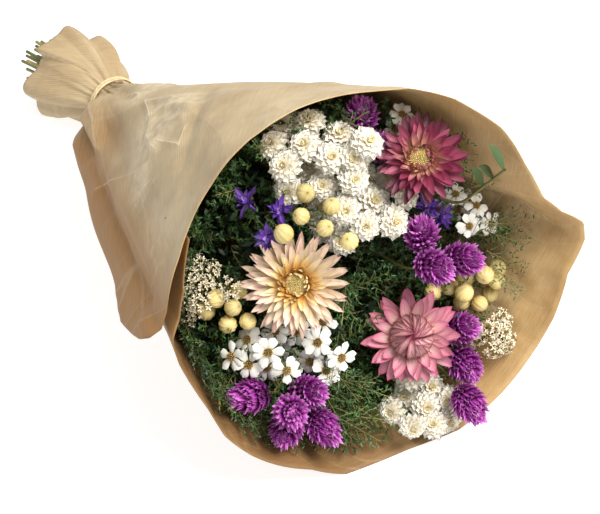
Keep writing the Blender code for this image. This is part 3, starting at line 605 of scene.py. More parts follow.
def blade(length, width, outline, rows, columns, lift, curl, cup=0.3, keel=2.0, frill=0.0, bend=1.0):
    """A petal or leaflet from the origin along +X, with its width along Y.

    lift is the angle at the root and curl the turn from there to the tip, bunched towards the tip
    where bend is above 1. The edges stand cup times the half width over the midrib, in a valley
    that is sharper where keel is near 1, and frill waves the tip.
    """
    t = np.linspace(0, 1, rows + 1)
    s = np.linspace(-1, 1, columns + 1)
    angle = lift + curl * t**bend
    middle = (angle[1:] + angle[:-1]) / 2
    x = np.concatenate([[0], np.cumsum(np.cos(middle))]) * length / rows
    z = np.concatenate([[0], np.cumsum(np.sin(middle))]) * length / rows
    half = (outline(t) * width / 2)[:, None]
    rise = cup * half * np.abs(s) ** keel
    reach = frill * length * np.cos(math.pi * 3 * s) * (t**4)[:, None]
    points = np.stack(
        [
            x[:, None] - np.sin(angle)[:, None] * rise + reach * np.cos(angle)[:, None],
            half * s,
            z[:, None] + np.cos(angle)[:, None] * rise + reach * np.sin(angle)[:, None],
        ],
        axis=-1,
    )
    return shape_of(points, rows, columns)


def turned(profile, columns, ribs=0, depth=0.0, sharp=1.0):
    """A turned body from a profile of (radius, height), with ribs cut between its lobes."""
    profile = np.array(profile)
    angle = np.linspace(0, math.tau, columns + 1)
    groove = 1 - depth * (1 - np.abs(np.sin(ribs * angle / 2)) ** sharp) if ribs else np.ones(columns + 1)
    radius = profile[:, 0][:, None] * groove
    height = np.repeat(profile[:, 1][:, None], columns + 1, axis=1)
    points = np.stack([radius * np.cos(angle), radius * np.sin(angle), height], axis=-1)
    return shape_of(points, len(profile) - 1, columns)


def rod(points, radii, sides=6):
    """A tube along points whose radius changes from point to point."""
    points = np.array([tuple(point) for point in points])
    radii = np.broadcast_to(radii, len(points))
    runs = np.gradient(points, axis=0)
    runs /= np.linalg.norm(runs, axis=1)[:, None]
    first = np.cross(runs, ASIDE)
    first /= np.linalg.norm(first, axis=1)[:, None]
    second = np.cross(runs, first)
    angle = np.linspace(0, math.tau, sides + 1)
    ring = first[:, None] * np.cos(angle)[None, :, None] + second[:, None] * np.sin(angle)[None, :, None]
    return shape_of(points[:, None] + ring * radii[:, None, None], len(points) - 1, sides)


def rounded_path(points, radius):
    """The points of a path with each corner rounded off."""
    points = [Vector(point) for point in points]
    path = [points[0]]
    for before, corner, after in zip(points, points[1:], points[2:]):
        start = corner + (before - corner).normalized() * min(radius, (before - corner).length * 0.45)
        end = corner + (after - corner).normalized() * min(radius, (after - corner).length * 0.45)
        for step in range(CORNER_STEPS + 1):
            share = step / CORNER_STEPS
            path.append(start.lerp(corner, share).lerp(corner.lerp(end, share), share))
    return path + [points[-1]]


def spin(angle):
    """A turn about +Z."""
    return Matrix.Rotation(angle, 4, "Z")


def tip_up(angle):
    """A turn that lifts +X towards +Z."""
    return Matrix.Rotation(-angle, 4, "Y")


def move(x, y, z):
    """A shift."""
    return Matrix.Translation((x, y, z))


def along(point, way, turn, scale):
    """A matrix that lays +X of a shape along way from point, turned about it."""
    x = Vector(way).normalized()
    y = x.cross(Vector(ASIDE)).normalized()
    frame_matrix = Matrix((x, y, x.cross(y))).transposed().to_4x4()
    return Matrix.Translation(point) @ frame_matrix @ Matrix.Rotation(turn, 4, "X") @ Matrix.Scale(scale, 4)


class Sculpt:
    """Many small shapes gathered into one mesh in the bouquet's frame.

    Each point carries four numbers for the materials: how far along and across its shape it lies,
    a random tint, and a shade that a maker may set. The shade darkens or lightens a shape: partly
    painted shade, on parts that lie deep, low or under others, and partly a darker or lighter colour.
    """

    def __init__(self, name):
        self.name = name
        self.points, self.faces, self.looks, self.slots = [], [], [], []
        self.count = 0

    def add(self, shape, matrix=None, slot=0, tint=None, shade=0.5):
        """Adds a shape, laid by a matrix, in the material with the number slot."""
        points, faces, grid = shape
        if matrix is not None:
            full = np.array(matrix)
            points = points @ full[:3, :3].T + full[:3, 3]
        tint = RNG.random() if tint is None else tint
        self.points.append(points)
        self.faces.append(faces + self.count)
        self.looks.append(np.column_stack([grid, np.full((len(points), 2), (tint, shade))]))
        self.slots.append(np.full(len(faces), slot))
        self.count += len(points)

    def finish(self, materials, slot_name, *replaced):
        """The mesh as an object in the scene, standing for the named CAD nodes."""
        points = np.concatenate(self.points) @ AXIS_TURN.T + AXIS_PLACE
        faces = np.concatenate(self.faces)
        mesh = bpy.data.meshes.new(self.name)
        mesh.vertices.add(len(points))
        mesh.vertices.foreach_set("co", points.astype(np.float32).ravel())
        mesh.loops.add(faces.size)
        mesh.loops.foreach_set("vertex_index", faces.astype(np.int32).ravel())
        mesh.polygons.add(len(faces))
        mesh.polygons.foreach_set("loop_start", np.arange(0, faces.size, 4, dtype=np.int32))
        mesh.polygons.foreach_set("material_index", np.concatenate(self.slots).astype(np.int32))
        mesh.update(calc_edges=True)
        look = mesh.attributes.new("look", "FLOAT_COLOR", "POINT")
        look.data.foreach_set("color", np.concatenate(self.looks).astype(np.float32).ravel())
        mesh.shade_smooth()
        for material in materials:
            mesh.materials.append(material)
        return show(mesh, slot_name, *replaced)


def show(mesh, slot_name, *replaced):
    """Puts a mesh in the scene, riding on the one body."""
    obj = bpy.data.objects.new(mesh.name, mesh)
    bpy.context.scene.collection.objects.link(obj)
    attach(obj, "root")
    if replaced:
        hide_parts(*replaced)
    return obj


# --- Materials --------------------------------------------------------------------------------


class Paint:
    """One procedural material: small helpers that add and join nodes."""

    def __init__(self, name, roughness, **sockets):
        self.material = bpy.data.materials.new(name)
        self.material.use_nodes = True
        self.tree = self.material.node_tree
        self.shader = self.tree.nodes["Principled BSDF"]
        self.shader.inputs["Roughness"].default_value = roughness
        for socket, value in sockets.items():
            self.shader.inputs[socket.replace("_", " ")].default_value = value

    def node(self, kind, inputs=None, **settings):
        """A new node, with its inputs set or joined."""
        made = self.tree.nodes.new("ShaderNode" + kind)
        for key, value in settings.items():
            setattr(made, key, value)
        for key, value in (inputs or {}).items():
            if isinstance(value, bpy.types.NodeSocket):
                self.tree.links.new(value, made.inputs[key])
            else:
                made.inputs[key].default_value = value
        return made

    def look(self):
        """The outputs along, across, tint and shade of the attribute that the meshes carry."""
        attribute = self.node("Attribute", attribute_name="look")
        parts = self.node("SeparateColor", {"Color": attribute.outputs["Color"]})
        return parts.outputs["Red"], parts.outputs["Green"], parts.outputs["Blue"], attribute.outputs["Alpha"]

    def carried(self, name):
        """A vector that the mesh carries at each point."""
        return self.node("Attribute", attribute_name=name).outputs["Vector"]

    def split(self, vector):
        """The three parts of a vector."""
        return self.node("SeparateXYZ", {"Vector": vector}).outputs

    def stretched(self, vector, factors):
        """A vector with each part multiplied by its own factor."""
        return self.node("VectorMath", {0: vector, 1: factors}, operation="MULTIPLY").outputs[0]

    def noise(self, vector, scale, detail, roughness=0.5):
        """Cloudy noise, from about 0.25 to 0.75."""
        inputs = {"Vector": vector, "Scale": scale, "Detail": detail, "Roughness": roughness}
        return self.node("TexNoise", inputs).outputs["Fac"]

    def ramp(self, driver, stops):
        """Colours along a value from 0 to 1."""
        made = self.node("ValToRGB", {"Fac": driver})
        elements = made.color_ramp.elements
        while len(elements) < len(stops):
            elements.new(0.5)
        for element, (position, colour) in zip(elements, stops):
            element.position = position
            element.color = (*colour, 1)
        return made.outputs["Color"]

    def scaled(self, value, low, high, start=0.0, end=1.0):
        """A value from low to high carried to a value from start to end."""
        inputs = {"Value": value, "From Min": low, "From Max": high, "To Min": start, "To Max": end}
        return self.node("MapRange", inputs).outputs["Result"]

    def maths(self, operation, *values):
        """What a Math node makes of some values."""
        return self.node("Math", dict(enumerate(values)), operation=operation).outputs[0]

    def times(self, first, second):
        """One value times another."""
        return self.maths("MULTIPLY", first, second)

    def dim(self, colour, value):
        """The colour multiplied by a value."""
        inputs = {"Factor": 1.0, "A": colour, "B": value}
        return self.node("Mix", inputs, data_type="RGBA", blend_type="MULTIPLY").outputs["Result"]

    def blend(self, factor, first, second):
        """The first colour where factor is 0, the second where it is 1."""
        inputs = {"Factor": factor, "A": first, "B": second}
        return self.node("Mix", inputs, data_type="RGBA").outputs["Result"]

    def colour(self, output):
        """Joins a colour to the shader."""
        self.tree.links.new(output, self.shader.inputs["Base Color"])

    def bump(self, height, distance, strength):
        """Joins a relief to the shader."""
        made = self.node("Bump", {"Height": height, "Distance": distance, "Strength": strength})
        self.tree.links.new(made.outputs["Normal"], self.shader.inputs["Normal"])


def rgb(*levels):
    """Linear colour of an sRGB one given from 0 to 255."""
    return tuple(((c / 255 + 0.055) / 1.055) ** 2.4 if c > 10 else c / 255 / 12.92 for c in levels)


def petal_paint(name, stops, roughness, streaks, spread, by_tint=None, edge=None, grain=(16, 1.6)):
    """A dry petal: colour along its length and at its edges, fine streaks, and each petal a little different.

    Colours are sRGB from 0 to 255. A stop is a place along the petal, from 0 to 1, and its colour.
    """
    paint = Paint(name, roughness)
    length, width, tint, shade = paint.look()
    colour = paint.ramp(length, [(place, rgb(*stop)) for place, *stop in stops])
    if by_tint:
        colour = paint.blend(paint.scaled(tint, 0.55, 1.0, 0, 0.75), colour, (*rgb(*by_tint), 1))
    if edge:
        aside = paint.maths("ABSOLUTE", paint.maths("SUBTRACT", width, 0.5))
        colour = paint.blend(paint.scaled(aside, 0.2, 0.5, 0, 0.85), colour, (*rgb(*edge), 1))
    spot = paint.node("CombineXYZ", {"X": width, "Y": length, "Z": tint}).outputs[0]
    fibre = paint.noise(paint.stretched(spot, (*grain, 37.0)), 1.0, 3.0)
    streak = paint.scaled(fibre, 0.3, 0.7, 1 - streaks, 1 + streaks * 0.5)
    lightness = paint.scaled(tint, 0, 1, 1 - spread, 1 + spread * 0.5)
    # Streaks and each petal's tint are its own colour. The shade that each part carries is partly painted
    # shade, on parts that lie low or under others, and partly a darker or lighter colour.
    mottle_and_shade = paint.times(paint.times(streak, lightness), paint.scaled(shade, 0, 1, 0.55, 1.45))
    paint.colour(paint.dim(colour, mottle_and_shade))
    paint.bump(fibre, 0.0003, 0.5)
    return paint.material


def leaf_paint(name, dark, light, dry, roughness):
    """Foliage: dark leaflets among lighter ones, a few dry. Colours are sRGB from 0 to 255."""
    paint = Paint(name, roughness)
    length, width, tint, shade = paint.look()
    stops = [(0.0, dark), (0.6, light), (0.95, light), (0.98, dry)]
    colour = paint.ramp(tint, [(place, rgb(*stop)) for place, stop in stops])
    patch = paint.noise(paint.node("NewGeometry").outputs["Position"], 60.0, 2.0)
    # The shade that each leaflet carries is painted shade, which makes the deeper layers of foliage darker.
    # Noise patches vary the tone, and each leaflet is darker towards its base.
    mottle_and_shade = paint.times(paint.scaled(patch, 0.3, 0.7, 0.75, 1.25), paint.scaled(shade, 0, 1, 0.3, 1.7))
    mottle_and_shade = paint.times(mottle_and_shade, paint.scaled(length, 0, 1, 0.8, 1.2))
    paint.colour(paint.dim(colour, mottle_and_shade))
    paint.bump(width, 0.0002, 0.3)
    return paint.material


RIB_ANGLE = 23  # degrees that the paper's ribs are turned in the flat sheet
RIB_PITCH = 1.4 * MM
RIB_SCALE = math.tau / 20 / RIB_PITCH  # a wave texture at scale 1 repeats every tau / 20
FIBRES = (1100.0, 60.0, 1.0)  # how often the fibres change across and along the ribs, for each metre


def kraft_paint(name, *colours):
    """Kraft paper: fine parallel ribs, fibres, soft stains, rubbed crease lines, crumpled and shaded parts.

    The colours are dark, middle and light, then that of rubbed and of shaded paper, as sRGB from
    0 to 255. The mesh carries where each point lies in the flat sheet, its distances in mm from
    creases of three kinds, and how rubbed, crumpled and shaded the sheet is there.
    """
    dark, middle, light, rubbed, shaded = [rgb(*colour) for colour in colours]
    paint = Paint(name, 0.6, Specular_IOR_Level=0.35)
    flat = paint.carried("flat")
    from_edge, from_long, from_fine = paint.split(paint.carried("folds"))
    rubbing, crumpling, shading = paint.split(paint.carried("state"))
    turn = {"Vector": flat, "Angle": math.radians(RIB_ANGLE)}
    tilted = paint.node("VectorRotate", turn, rotation_type="Z_AXIS").outputs[0]
    ribs = paint.node("TexWave", {"Vector": tilted, "Scale": RIB_SCALE}, bands_direction="X").outputs["Fac"]
    fibre = paint.noise(paint.stretched(tilted, FIBRES), 1.0, 4.0)
    cloud = paint.noise(flat, 24.0, 5.0, 0.6)
    mottle_and_shade = paint.noise(flat, 160.0, 3.0)
    base = paint.ramp(cloud, [(0.32, dark), (0.5, middle), (0.68, light)])
    crumpled = paint.times(crumpling, paint.scaled(mottle_and_shade, 0.3, 0.7, 0.1, 0.7))
    base = paint.blend(crumpled, base, (*rubbed, 1))
    # Painted shade: the sheet is darkened towards its shaded colour in the tuck, on its left side, at the
    # neck, inside and on the skirt.
    base = paint.blend(shading, base, (*shaded, 1))
    base = paint.dim(base, paint.scaled(fibre, 0.25, 0.75, 0.86, 1.08))
    base = paint.dim(base, paint.scaled(ribs, 0, 1, 0.94, 1.03))
    edge, long_line, fine_line = [
        paint.scaled(paint.maths("ABSOLUTE", distance), width, 0.0)
        for distance, width in ((from_edge, 0.75), (from_long, 0.5), (from_fine, 0.7))
    ]
    edge = paint.times(edge, rubbing)
    fine_line = paint.times(fine_line, paint.times(crumpling, 0.6))
    crease = paint.maths("MAXIMUM", edge, paint.times(long_line, 0.12))
    crease = paint.maths("MAXIMUM", crease, fine_line)
    rub = paint.times(crease, paint.scaled(mottle_and_shade, 0.3, 0.55, 0.25, 1.0))
    base = paint.blend(paint.scaled(rub, 0.0, 1.0, 0.0, 0.85), base, (*rubbed, 1))
    paint.colour(base)
    height = paint.maths("MULTIPLY_ADD", ribs, 0.35, fibre)
    height = paint.maths("MULTIPLY_ADD", crease, 1.2, height)
    paint.bump(height, 0.00025, 0.6)
    return paint.material


# --- Blooms -----------------------------------------------------------------------------------


STEM_BEND = 9 * MM  # stretch over which a stem turns a corner


def stem_into(sculpt, path, slot=0):
    """A stem along a path, a little thinner at its upper end."""
    path = rounded_path(path, STEM_BEND)
    radii = np.linspace(0.75, 1.0, len(path)) * STEM_RADIUS
    sculpt.add(rod(path, radii), slot=slot)


def disc_into(sculpt, stand, radius, height, count, slot, size=0.9 * MM):
    """A domed disc of tiny florets on a golden spiral."""
    floret = turned([(size * 0.45, -size), (size * 0.5, 0), (size * 0.3, size * 0.45), (0, size * 0.6)], 5)
    for i in range(count):
        share = math.sqrt((i + 0.5) / count)
        angle = i * GOLDEN_ANGLE
        lean = Matrix.Rotation(share * 0.9, 4, Vector((-math.sin(angle), math.cos(angle), 0)))
        out = radius * share
        place = move(out * math.cos(angle), out * math.sin(angle), height * (1 - share**2))
        sculpt.add(floret, stand @ place @ lean, slot=slot, shade=0.35 + 0.3 * share)


def whorl_into(
    sculpt, stand, shapes, count, radius, height, turn=0.0, slot=0, shade=0.5, jitter=0.08, slant=0.12
):
    """Petals set round a stem, each laid a little over its neighbour."""
    for i in range(count):
        angle = turn + (i + RNG.uniform(-jitter, jitter) * 2) * math.tau / count
        lie = Matrix.Rotation(slant + RNG.uniform(-0.12, 0.12), 4, "X")
        nod = tip_up(RNG.uniform(-jitter, jitter))
        scale = Matrix.Scale(RNG.uniform(0.93, 1.04), 4)
        shape = shapes[int(RNG.integers(len(shapes)))]
        matrix = stand @ spin(angle) @ move(radius, 0, height) @ nod @ lie @ scale
        sculpt.add(shape, matrix, slot=slot, shade=shade + RNG.uniform(-0.05, 0.05))


def bract_shapes(length, width, lift, curl, cup=0.35, bend=1.6, rows=8):
    """Three near-alike papery bracts."""
    return [
        blade(length * k, width / k, pointed, rows, 4, lift, curl + sway, cup=cup, bend=bend)
        for k, sway in ((1.0, 0.0), (0.96, 0.12), (1.03, -0.1))
    ]


# Each whorl of bracts: count, root radius, root height, length and width in mm, then lift at the
# root and curl to the tip in radians, and shade.
PEACH_BRACTS = [
    (22, 5.0, -3.4, 24.0, 5.3, -0.04, 0.12, 0.46),
    (22, 5.0, -2.9, 23.2, 5.1, 0.06, 0.12, 0.50),
    (22, 5.0, -2.4, 21.6, 4.9, 0.17, 0.10, 0.53),
    (21, 5.2, -2.0, 19.4, 4.6, 0.30, 0.06, 0.56),
    (19, 5.4, -1.6, 16.5, 4.2, 0.46, 0.04, 0.56),
]
PINK_BRACTS = [
    (11, 7.0, -3.4, 20.0, 8.4, -0.08, 0.16, 0.40),
    (12, 7.2, -2.9, 19.6, 8.2, 0.05, 0.14, 0.45),
    (12, 7.6, -2.4, 17.4, 7.8, 0.18, 0.16, 0.5),
    (13, 8.6, -2.0, 13.6, 7.0, 0.34, 0.18, 0.53),
]
BURGUNDY_BRACTS = [
    (13, 5.4, -3.4, 20.5, 6.4, -0.04, 0.18, 0.30),
    (13, 5.4, -2.9, 19.2, 6.2, 0.10, 0.16, 0.38),
    (13, 5.6, -2.3, 17.0, 5.6, 0.26, 0.14, 0.46),
    (12, 5.6, -1.8, 14.0, 4.8, 0.46, 0.12, 0.54),
]


CUP_PROFILE = [(0, -7), (4, -6), (7, -4.2), (7, -2.4)]  # of the green cup below the bracts, in mm

# The inner bracts of an open heart: count, root radius, length and width in mm, lift, curl and shade.
OPEN_HEART = [
    (18, 6.2, 12.5, 3.5, 0.66, 0.15, 0.50),
    (17, 6.4, 10.0, 3.1, 0.88, 0.55, 0.52),
    (16, 6.4, 8.0, 2.8, 1.12, 0.9, 0.55),
    (14, 6.0, 6.2, 2.4, 1.35, 1.2, 0.60),
]

# The same of a closed heart.
CLOSED_HEART = [
    (19, 11.6, 18.5, 4.9, 1.62, 1.72, 0.46),
    (17, 10.4, 16.5, 4.6, 1.62, 1.80, 0.50),
    (14, 8.6, 14.0, 4.2, 1.56, 1.80, 0.54),
    (11, 6.4, 11.0, 3.6, 1.50, 1.75, 0.56),
    (7, 3.6, 7.6, 3.0, 1.40, 1.6, 0.56),
]
CLOSED_RADIUS = CLOSED_HEART[0][1]

# Each layer of a button: count, then as shares of its size root radius, length and width, then lift,
# curl, height in mm and shade. The first four layers are ivory and the rest cream.
BUTTON_LAYERS = [
    (12, 0.24, 0.84, 0.60, -0.10, -0.20, -1.2, 0.46),
    (12, 0.18, 0.80, 0.56, 0.12, -0.25, -0.5, 0.52),
    (11, 0.14, 0.66, 0.50, 0.40, -0.30, 0.3, 0.55),
    (9, 0.10, 0.52, 0.44, 0.72, -0.20, 0.9, 0.57),
    (7, 0.07, 0.38, 0.34, 1.00, 0.20, 1.2, 0.57),
    (5, 0.03, 0.28, 0.26, 1.25, 0.50, 1.4, 0.57),
]
IVORY_LAYERS = 4

# Each whorl of a larkspur floret: count, length as a share of its size, lift, curl, turn and shade.
LARKSPUR_WHORLS = [
    (6, 1.15, 0.05, 0.5, 0.0, 0.42),
    (6, 1.0, 0.45, 0.4, 0.6, 0.5),
    (5, 0.8, 0.85, 0.3, 0.3, 0.58),
]
LARKSPUR_SPUR = [(0, 0, 0), (0, -1.5, -3), (0, -1.8, -6), (0, 0, -8)]  # in mm

STATICE_FLOWERS = 20
CANARY_SCALES = 250
CANARY_GIRTH = CANARY_RADIUS * 0.62  # of the body that the scales stand out of


def strawflower(name, plant, bracts, paints, make_heart):
    """A strawflower with its spreading bracts, its middle and its stem."""
    stand = aim(*plant["heads"][0])
    kind = name.split("_")[0]
    flower = Sculpt(name + ".petals")
    for order, (count, radius, height, length, width, lift, curl, shade) in enumerate(bracts):
        shapes = bract_shapes(length * MM, width * MM, lift, curl)
        whorl_into(flower, stand, shapes, count, radius * MM, height * MM, turn=order * 0.61, shade=shade)
    cup = turned([(radius * MM, height * MM) for radius, height in CUP_PROFILE], 24)
    flower.add(cup, stand, slot=1)
    flower.finish([paints["petal_" + kind], paints["stem"]], "petal_" + kind, name + "_bracts")
    heart = Sculpt(name + ".heart")
    make_heart(heart, stand)
    slot_name = "petal_pink" if make_heart is closed_heart else "disc_yellow"
    heart.finish([paints["heart_" + kind], paints["disc"]], slot_name, name + "_heart")
    stem = Sculpt(name + ".stem")
    stem_into(stem, plant["stem"])
    stem.finish([paints["stem"]], "stem_green", name + "_stem")


def open_heart(heart, stand):
    """A disc of florets with small bracts that stand round it and curl over it."""
    disc_into(heart, stand, 5.8 * MM, 2.4 * MM, 150, 1)
    for count, radius, length, width, lift, curl, shade in OPEN_HEART:
        shapes = bract_shapes(length * MM, width * MM, lift, curl, cup=0.5, rows=6)
        whorl_into(
            heart, stand, shapes, count, radius * MM, -1.0 * MM,
            turn=radius + lift, shade=shade, jitter=0.3, slant=0.25,
        )


def closed_heart(heart, stand):
    """A dome of narrow bracts that bend in and meet just off the middle."""
    for count, radius, length, width, lift, curl, shade in CLOSED_HEART:
        shapes = bract_shapes(length * MM, width * MM, lift, curl, cup=-0.6, bend=1.0, rows=9)
        off = move((CLOSED_RADIUS - radius) * 0.18 * MM, (radius - CLOSED_RADIUS) * 0.12 * MM, 0.2 * MM)
        whorl_into(heart, stand @ off, shapes, count, radius * MM, 0, turn=radius, shade=shade, jitter=0.1)


def button_head(sculpt, stand, size, slots):
    """A double button: layers of frilled florets round a tight cream middle."""
    for order, (count, radius, length, width, lift, curl, height, shade) in enumerate(BUTTON_LAYERS):
        shape = blade(length * size, width * size, blunt, 4, 6, lift, curl, cup=0.3, frill=0.05)
        whorl_into(
            sculpt, stand, [shape], count, radius * size, height * MM,
            turn=order * 0.5, slot=slots[order >= IVORY_LAYERS], shade=shade, jitter=0.12,
        )
    profile = [(0.13, 0), (0.12, 0.12), (0.06, 0.19), (0, 0.21)]
    core = turned([(radius * size, height * size) for radius, height in profile], 8)
    sculpt.add(core, stand @ move(0, 0, 1.0 * MM), slot=slots[1], shade=0.55)


def daisy_head(sculpt, stand, size, slots):
    """A small daisy: six to eight blunt white petals round a raised golden middle."""
    count = int(RNG.integers(6, 9))
    petals = [
        blade(size * 0.78 * k, size * 0.62, blunt, 4, 4, lift, -0.4, cup=-0.3, frill=0.045)
        for k, lift in ((1.0, 0.30), (0.92, 0.12), (1.05, 0.0), (0.97, -0.2))
    ]
    whorl_into(sculpt, stand, petals, count, size * 0.24, 0.1 * MM, slot=slots[0], shade=0.55, jitter=0.14)
    sepals = [blade(size * 0.34, size * 0.26, pointed, 2, 2, -0.7, 0.3)]
    whorl_into(sculpt, stand, sepals, 6, size * 0.08, -0.8 * MM, slot=slots[2])
    disc_into(sculpt, stand @ move(0, 0, 0.2 * MM), size * 0.29, 1.0 * MM, 26, slots[1], size=0.75 * MM)


def pod_head(sculpt, stand, size, slot):
    """A round ribbed capsule with a short beak, in the dry remains of its calyx."""
    angle = np.linspace(-1, 1, 13) * math.pi / 2
    profile = [(max(0.0, math.cos(a)) * size, math.sin(a) * size * (1.08 if a > 0 else 0.95)) for a in angle]
    profile[-1] = (0.06 * size, profile[-1][1])
    profile.append((0.03 * size, size * 1.22))
    sculpt.add(turned(profile, 40, ribs=10, depth=0.085, sharp=0.55), stand, slot=slot)
    sepal = [blade(size * 0.9, size * 0.5, pointed, 4, 2, lift=0.15, curl=1.2, cup=0.3)]
    whorl_into(sculpt, stand, sepal, 5, size * 0.1, -size * 1.0, slot=slot, shade=0.38)


def larkspur_head(sculpt, stand, size, slots):
    """A larkspur floret: whorls of narrow crumpled petals, pale ones in the throat and a spur behind."""
    for count, length, lift, curl, turn, shade in LARKSPUR_WHORLS:
        petals = [
            blade(size * length * k, size * 0.42, slim, 6, 6, lift, curl + sway, cup=0.5, frill=0.05)
            for k, sway in ((1.0, 0.0), (0.75, 0.5), (1.12, -0.5))
        ]
        whorl_into(
            sculpt, stand, petals, count, size * 0.06, 0,
            turn=turn, slot=slots[0], shade=shade, jitter=0.35, slant=0.3,
        )
    inner = [blade(size * 0.5, size * 0.26, rounded, 4, 2, 0.95, 0.3, cup=0.4)]
    whorl_into(sculpt, stand, inner, 4, size * 0.04, 0.3 * MM, slot=slots[1], shade=0.7, jitter=0.2)
    path = [stand @ Vector([part * MM for part in point]) for point in LARKSPUR_SPUR]
    sculpt.add(rod(rounded_path(path, 2 * MM), 0.6 * MM), slot=slots[0], shade=0.35)


def statice_head(sculpt, stand, size, slots):
    """A tuft of tiny papery flowers on hair-thin stalks."""
    petals = [
        blade(2.1 * MM * k, 0.95 * MM, rounded, 3, 2, lift, -0.3, cup=0.3)
        for k, lift in ((1, 0.4), (0.8, 0.9))
    ]
    root = stand @ Vector((0, 0, -4 * MM))
    for i in range(STATICE_FLOWERS):
        share = math.sqrt((i + 0.5) / STATICE_FLOWERS)
        angle = i * GOLDEN_ANGLE
        out = share * 1.5
        spot = Vector((math.cos(angle) * out, math.sin(angle) * out, 0.9 - 0.8 * share)) * size
        spot += Vector(RNG.uniform(-0.25, 0.25, 3)) * size
        facing = Vector((spot.x, spot.y, size * 1.1)).normalized()
        whorl_into(sculpt, stand @ aim_local(spot, facing), petals, 5, 0.2 * MM, 0, slot=slots[0], shade=0.55)
        sculpt.add(rod([root, stand @ spot], 0.16 * MM, 3), slot=slots[1])


def aim_local(point, direction):
    """As aim, without the bouquet's own sense of across."""
    return Matrix.Translation(point) @ direction.to_track_quat("Z", "Y").to_matrix().to_4x4()


def canary_head(sculpt, base, direction, slot):
    """A canary grass head: keeled, pointed scales that overlap like roof tiles up an oval."""
    stand = aim(base, direction)
    core = [
        (CANARY_GIRTH * 0.9 * math.sin(math.pi * (share * 0.9 + 0.07)) ** 0.8, CANARY_LENGTH * share)
        for share in np.linspace(0, 0.88, 9)
    ]
    core.append((0.0, CANARY_LENGTH * 0.93))
    sculpt.add(turned(core, 16), stand, slot=slot, shade=0.2)
    shapes = [
        blade(7.6 * MM * k, 2.9 * MM, scale_outline, 4, 2, 0.0, curl, cup=-0.8, keel=1.0)
        for k, curl in ((1.0, -0.5), (0.9, -0.2), (1.05, -0.8), (0.95, 0.3))
    ]
    for i in range(CANARY_SCALES):
        share = (i + 0.5) / CANARY_SCALES
        radius = CANARY_GIRTH * math.sin(math.pi * min(1.0, share * 0.9 + 0.1)) ** 0.8
        steep = math.radians(54 + 38 * share**1.3)
        place = stand @ spin(i * GOLDEN_ANGLE) @ move(radius, 0, CANARY_LENGTH * (share * 0.84 - 0.04))
        lie = tip_up(steep) @ Matrix.Rotation(RNG.uniform(-0.35, 0.35), 4, "X")
        scale = Matrix.Scale(RNG.uniform(0.8, 1.08), 4)
        shade = 0.40 + 0.22 * share + RNG.uniform(-0.12, 0.12)
        sculpt.add(shapes[i % 4], place @ lie @ scale, slot=slot, shade=shade)


def scale_outline(t):
    """Half width of a pointed scale, widest before its middle."""
    return np.sin(np.pi * np.clip(t, 0.03, 1) ** 0.65) ** 0.8


EXTRA_GAP = {"button": 1.3, "daisy": 1.25, "pod": 1.75}  # least distance to another head, in head radii
EXTRA_TRIES = 400


def scatter(rng, reach, unit=1.0):
    """A random shift, up to reach units along each axis."""
    return Vector([rng.uniform(-reach, reach) * unit for _ in range(3)])


def between_heads(plants, name, balls, gap, rng):
    """More heads of a spray: lower ones in the gaps between its own, each clear of every other bloom."""
    size = SPRAYS[name][4] * MM
    heads = [Vector(point) for point, _ in plants[name]["heads"]]
    tips, extra = list(heads), []
    for _ in range(EXTRA_TRIES):
        first, second = rng.sample(heads, 2)
        spot = first.lerp(second, rng.uniform(0.35, 0.65)) + scatter(rng, 5, MM)
        spot -= FRONT * rng.uniform(0.3, 0.8) * size
        if (first - second).length > 3.6 * size or not under_cover(spot, size):
            continue
        flat = [(tip - spot) - FRONT * (tip - spot).dot(FRONT) for tip in tips]
        clear = np.linalg.norm(balls[:, :3] - np.array(spot), axis=1) - balls[:, 3]
        own = np.array([min((Vector(ball[:3]) - head).length for head in heads) < 0.1 * MM for ball in balls])
        if min(away.length for away in flat) > gap * size and clear[~own].min() > size * 0.35:
            tips.append(spot)
            facing = (FRONT + scatter(rng, 0.35)).normalized()
            extra.append((spot, facing))
    return extra


def spray_look(name, plants, balls, rng):
    """A branching stem with a detailed head on each branch, and more heads on side branches between them."""
    kind = name.split("_")[0]
    plant = plants[name]
    sculpt = Sculpt(name + ".look")
    size = SPRAYS[name][4] * MM
    stem_into(sculpt, plant["stem"], slot=2)
    heads = list(plant["heads"])
    forks = [start for start, _ in plant["forks"]]
    if kind in EXTRA_GAP:
        more = between_heads(plants, name, balls, EXTRA_GAP[kind], rng)
        heads += more
        forks += [forks[0]] * len(more)
    for i, (start, (point, facing)) in enumerate(zip(forks, heads)):
        stand = aim(point, facing, turn=0.7 * i)
        if kind == "button":
            button_head(sculpt, stand, (size + 9.2 * MM) / 2 * rng.uniform(0.98, 1.12), (0, 1))
        elif kind == "daisy":
            daisy_head(sculpt, stand, size * 1.22, (0, 1, 2))
        elif kind == "pod":
            nod, lean = [Matrix.Rotation(RNG.uniform(-0.9, 0.9), 4, axis) for axis in "XY"]
            pod_head(sculpt, stand @ (nod @ lean), size * rng.uniform(0.9, 1.08), 0)
        elif kind == "larkspur":
            larkspur_head(sculpt, stand @ Matrix.Scale(1.15, 4), size, (0, 1))
        else:
            statice_head(sculpt, stand, size * 1.3, (0, 2))
        bend = point - facing * 6 * MM
        branch = rounded_path([start, start.lerp(bend, 0.7), bend, point], 5 * MM)
        sculpt.add(rod(branch, BRANCH_RADIUS * 0.6, 5), slot=2)
    return sculpt


# --- Greenery ---------------------------------------------------------------------------------


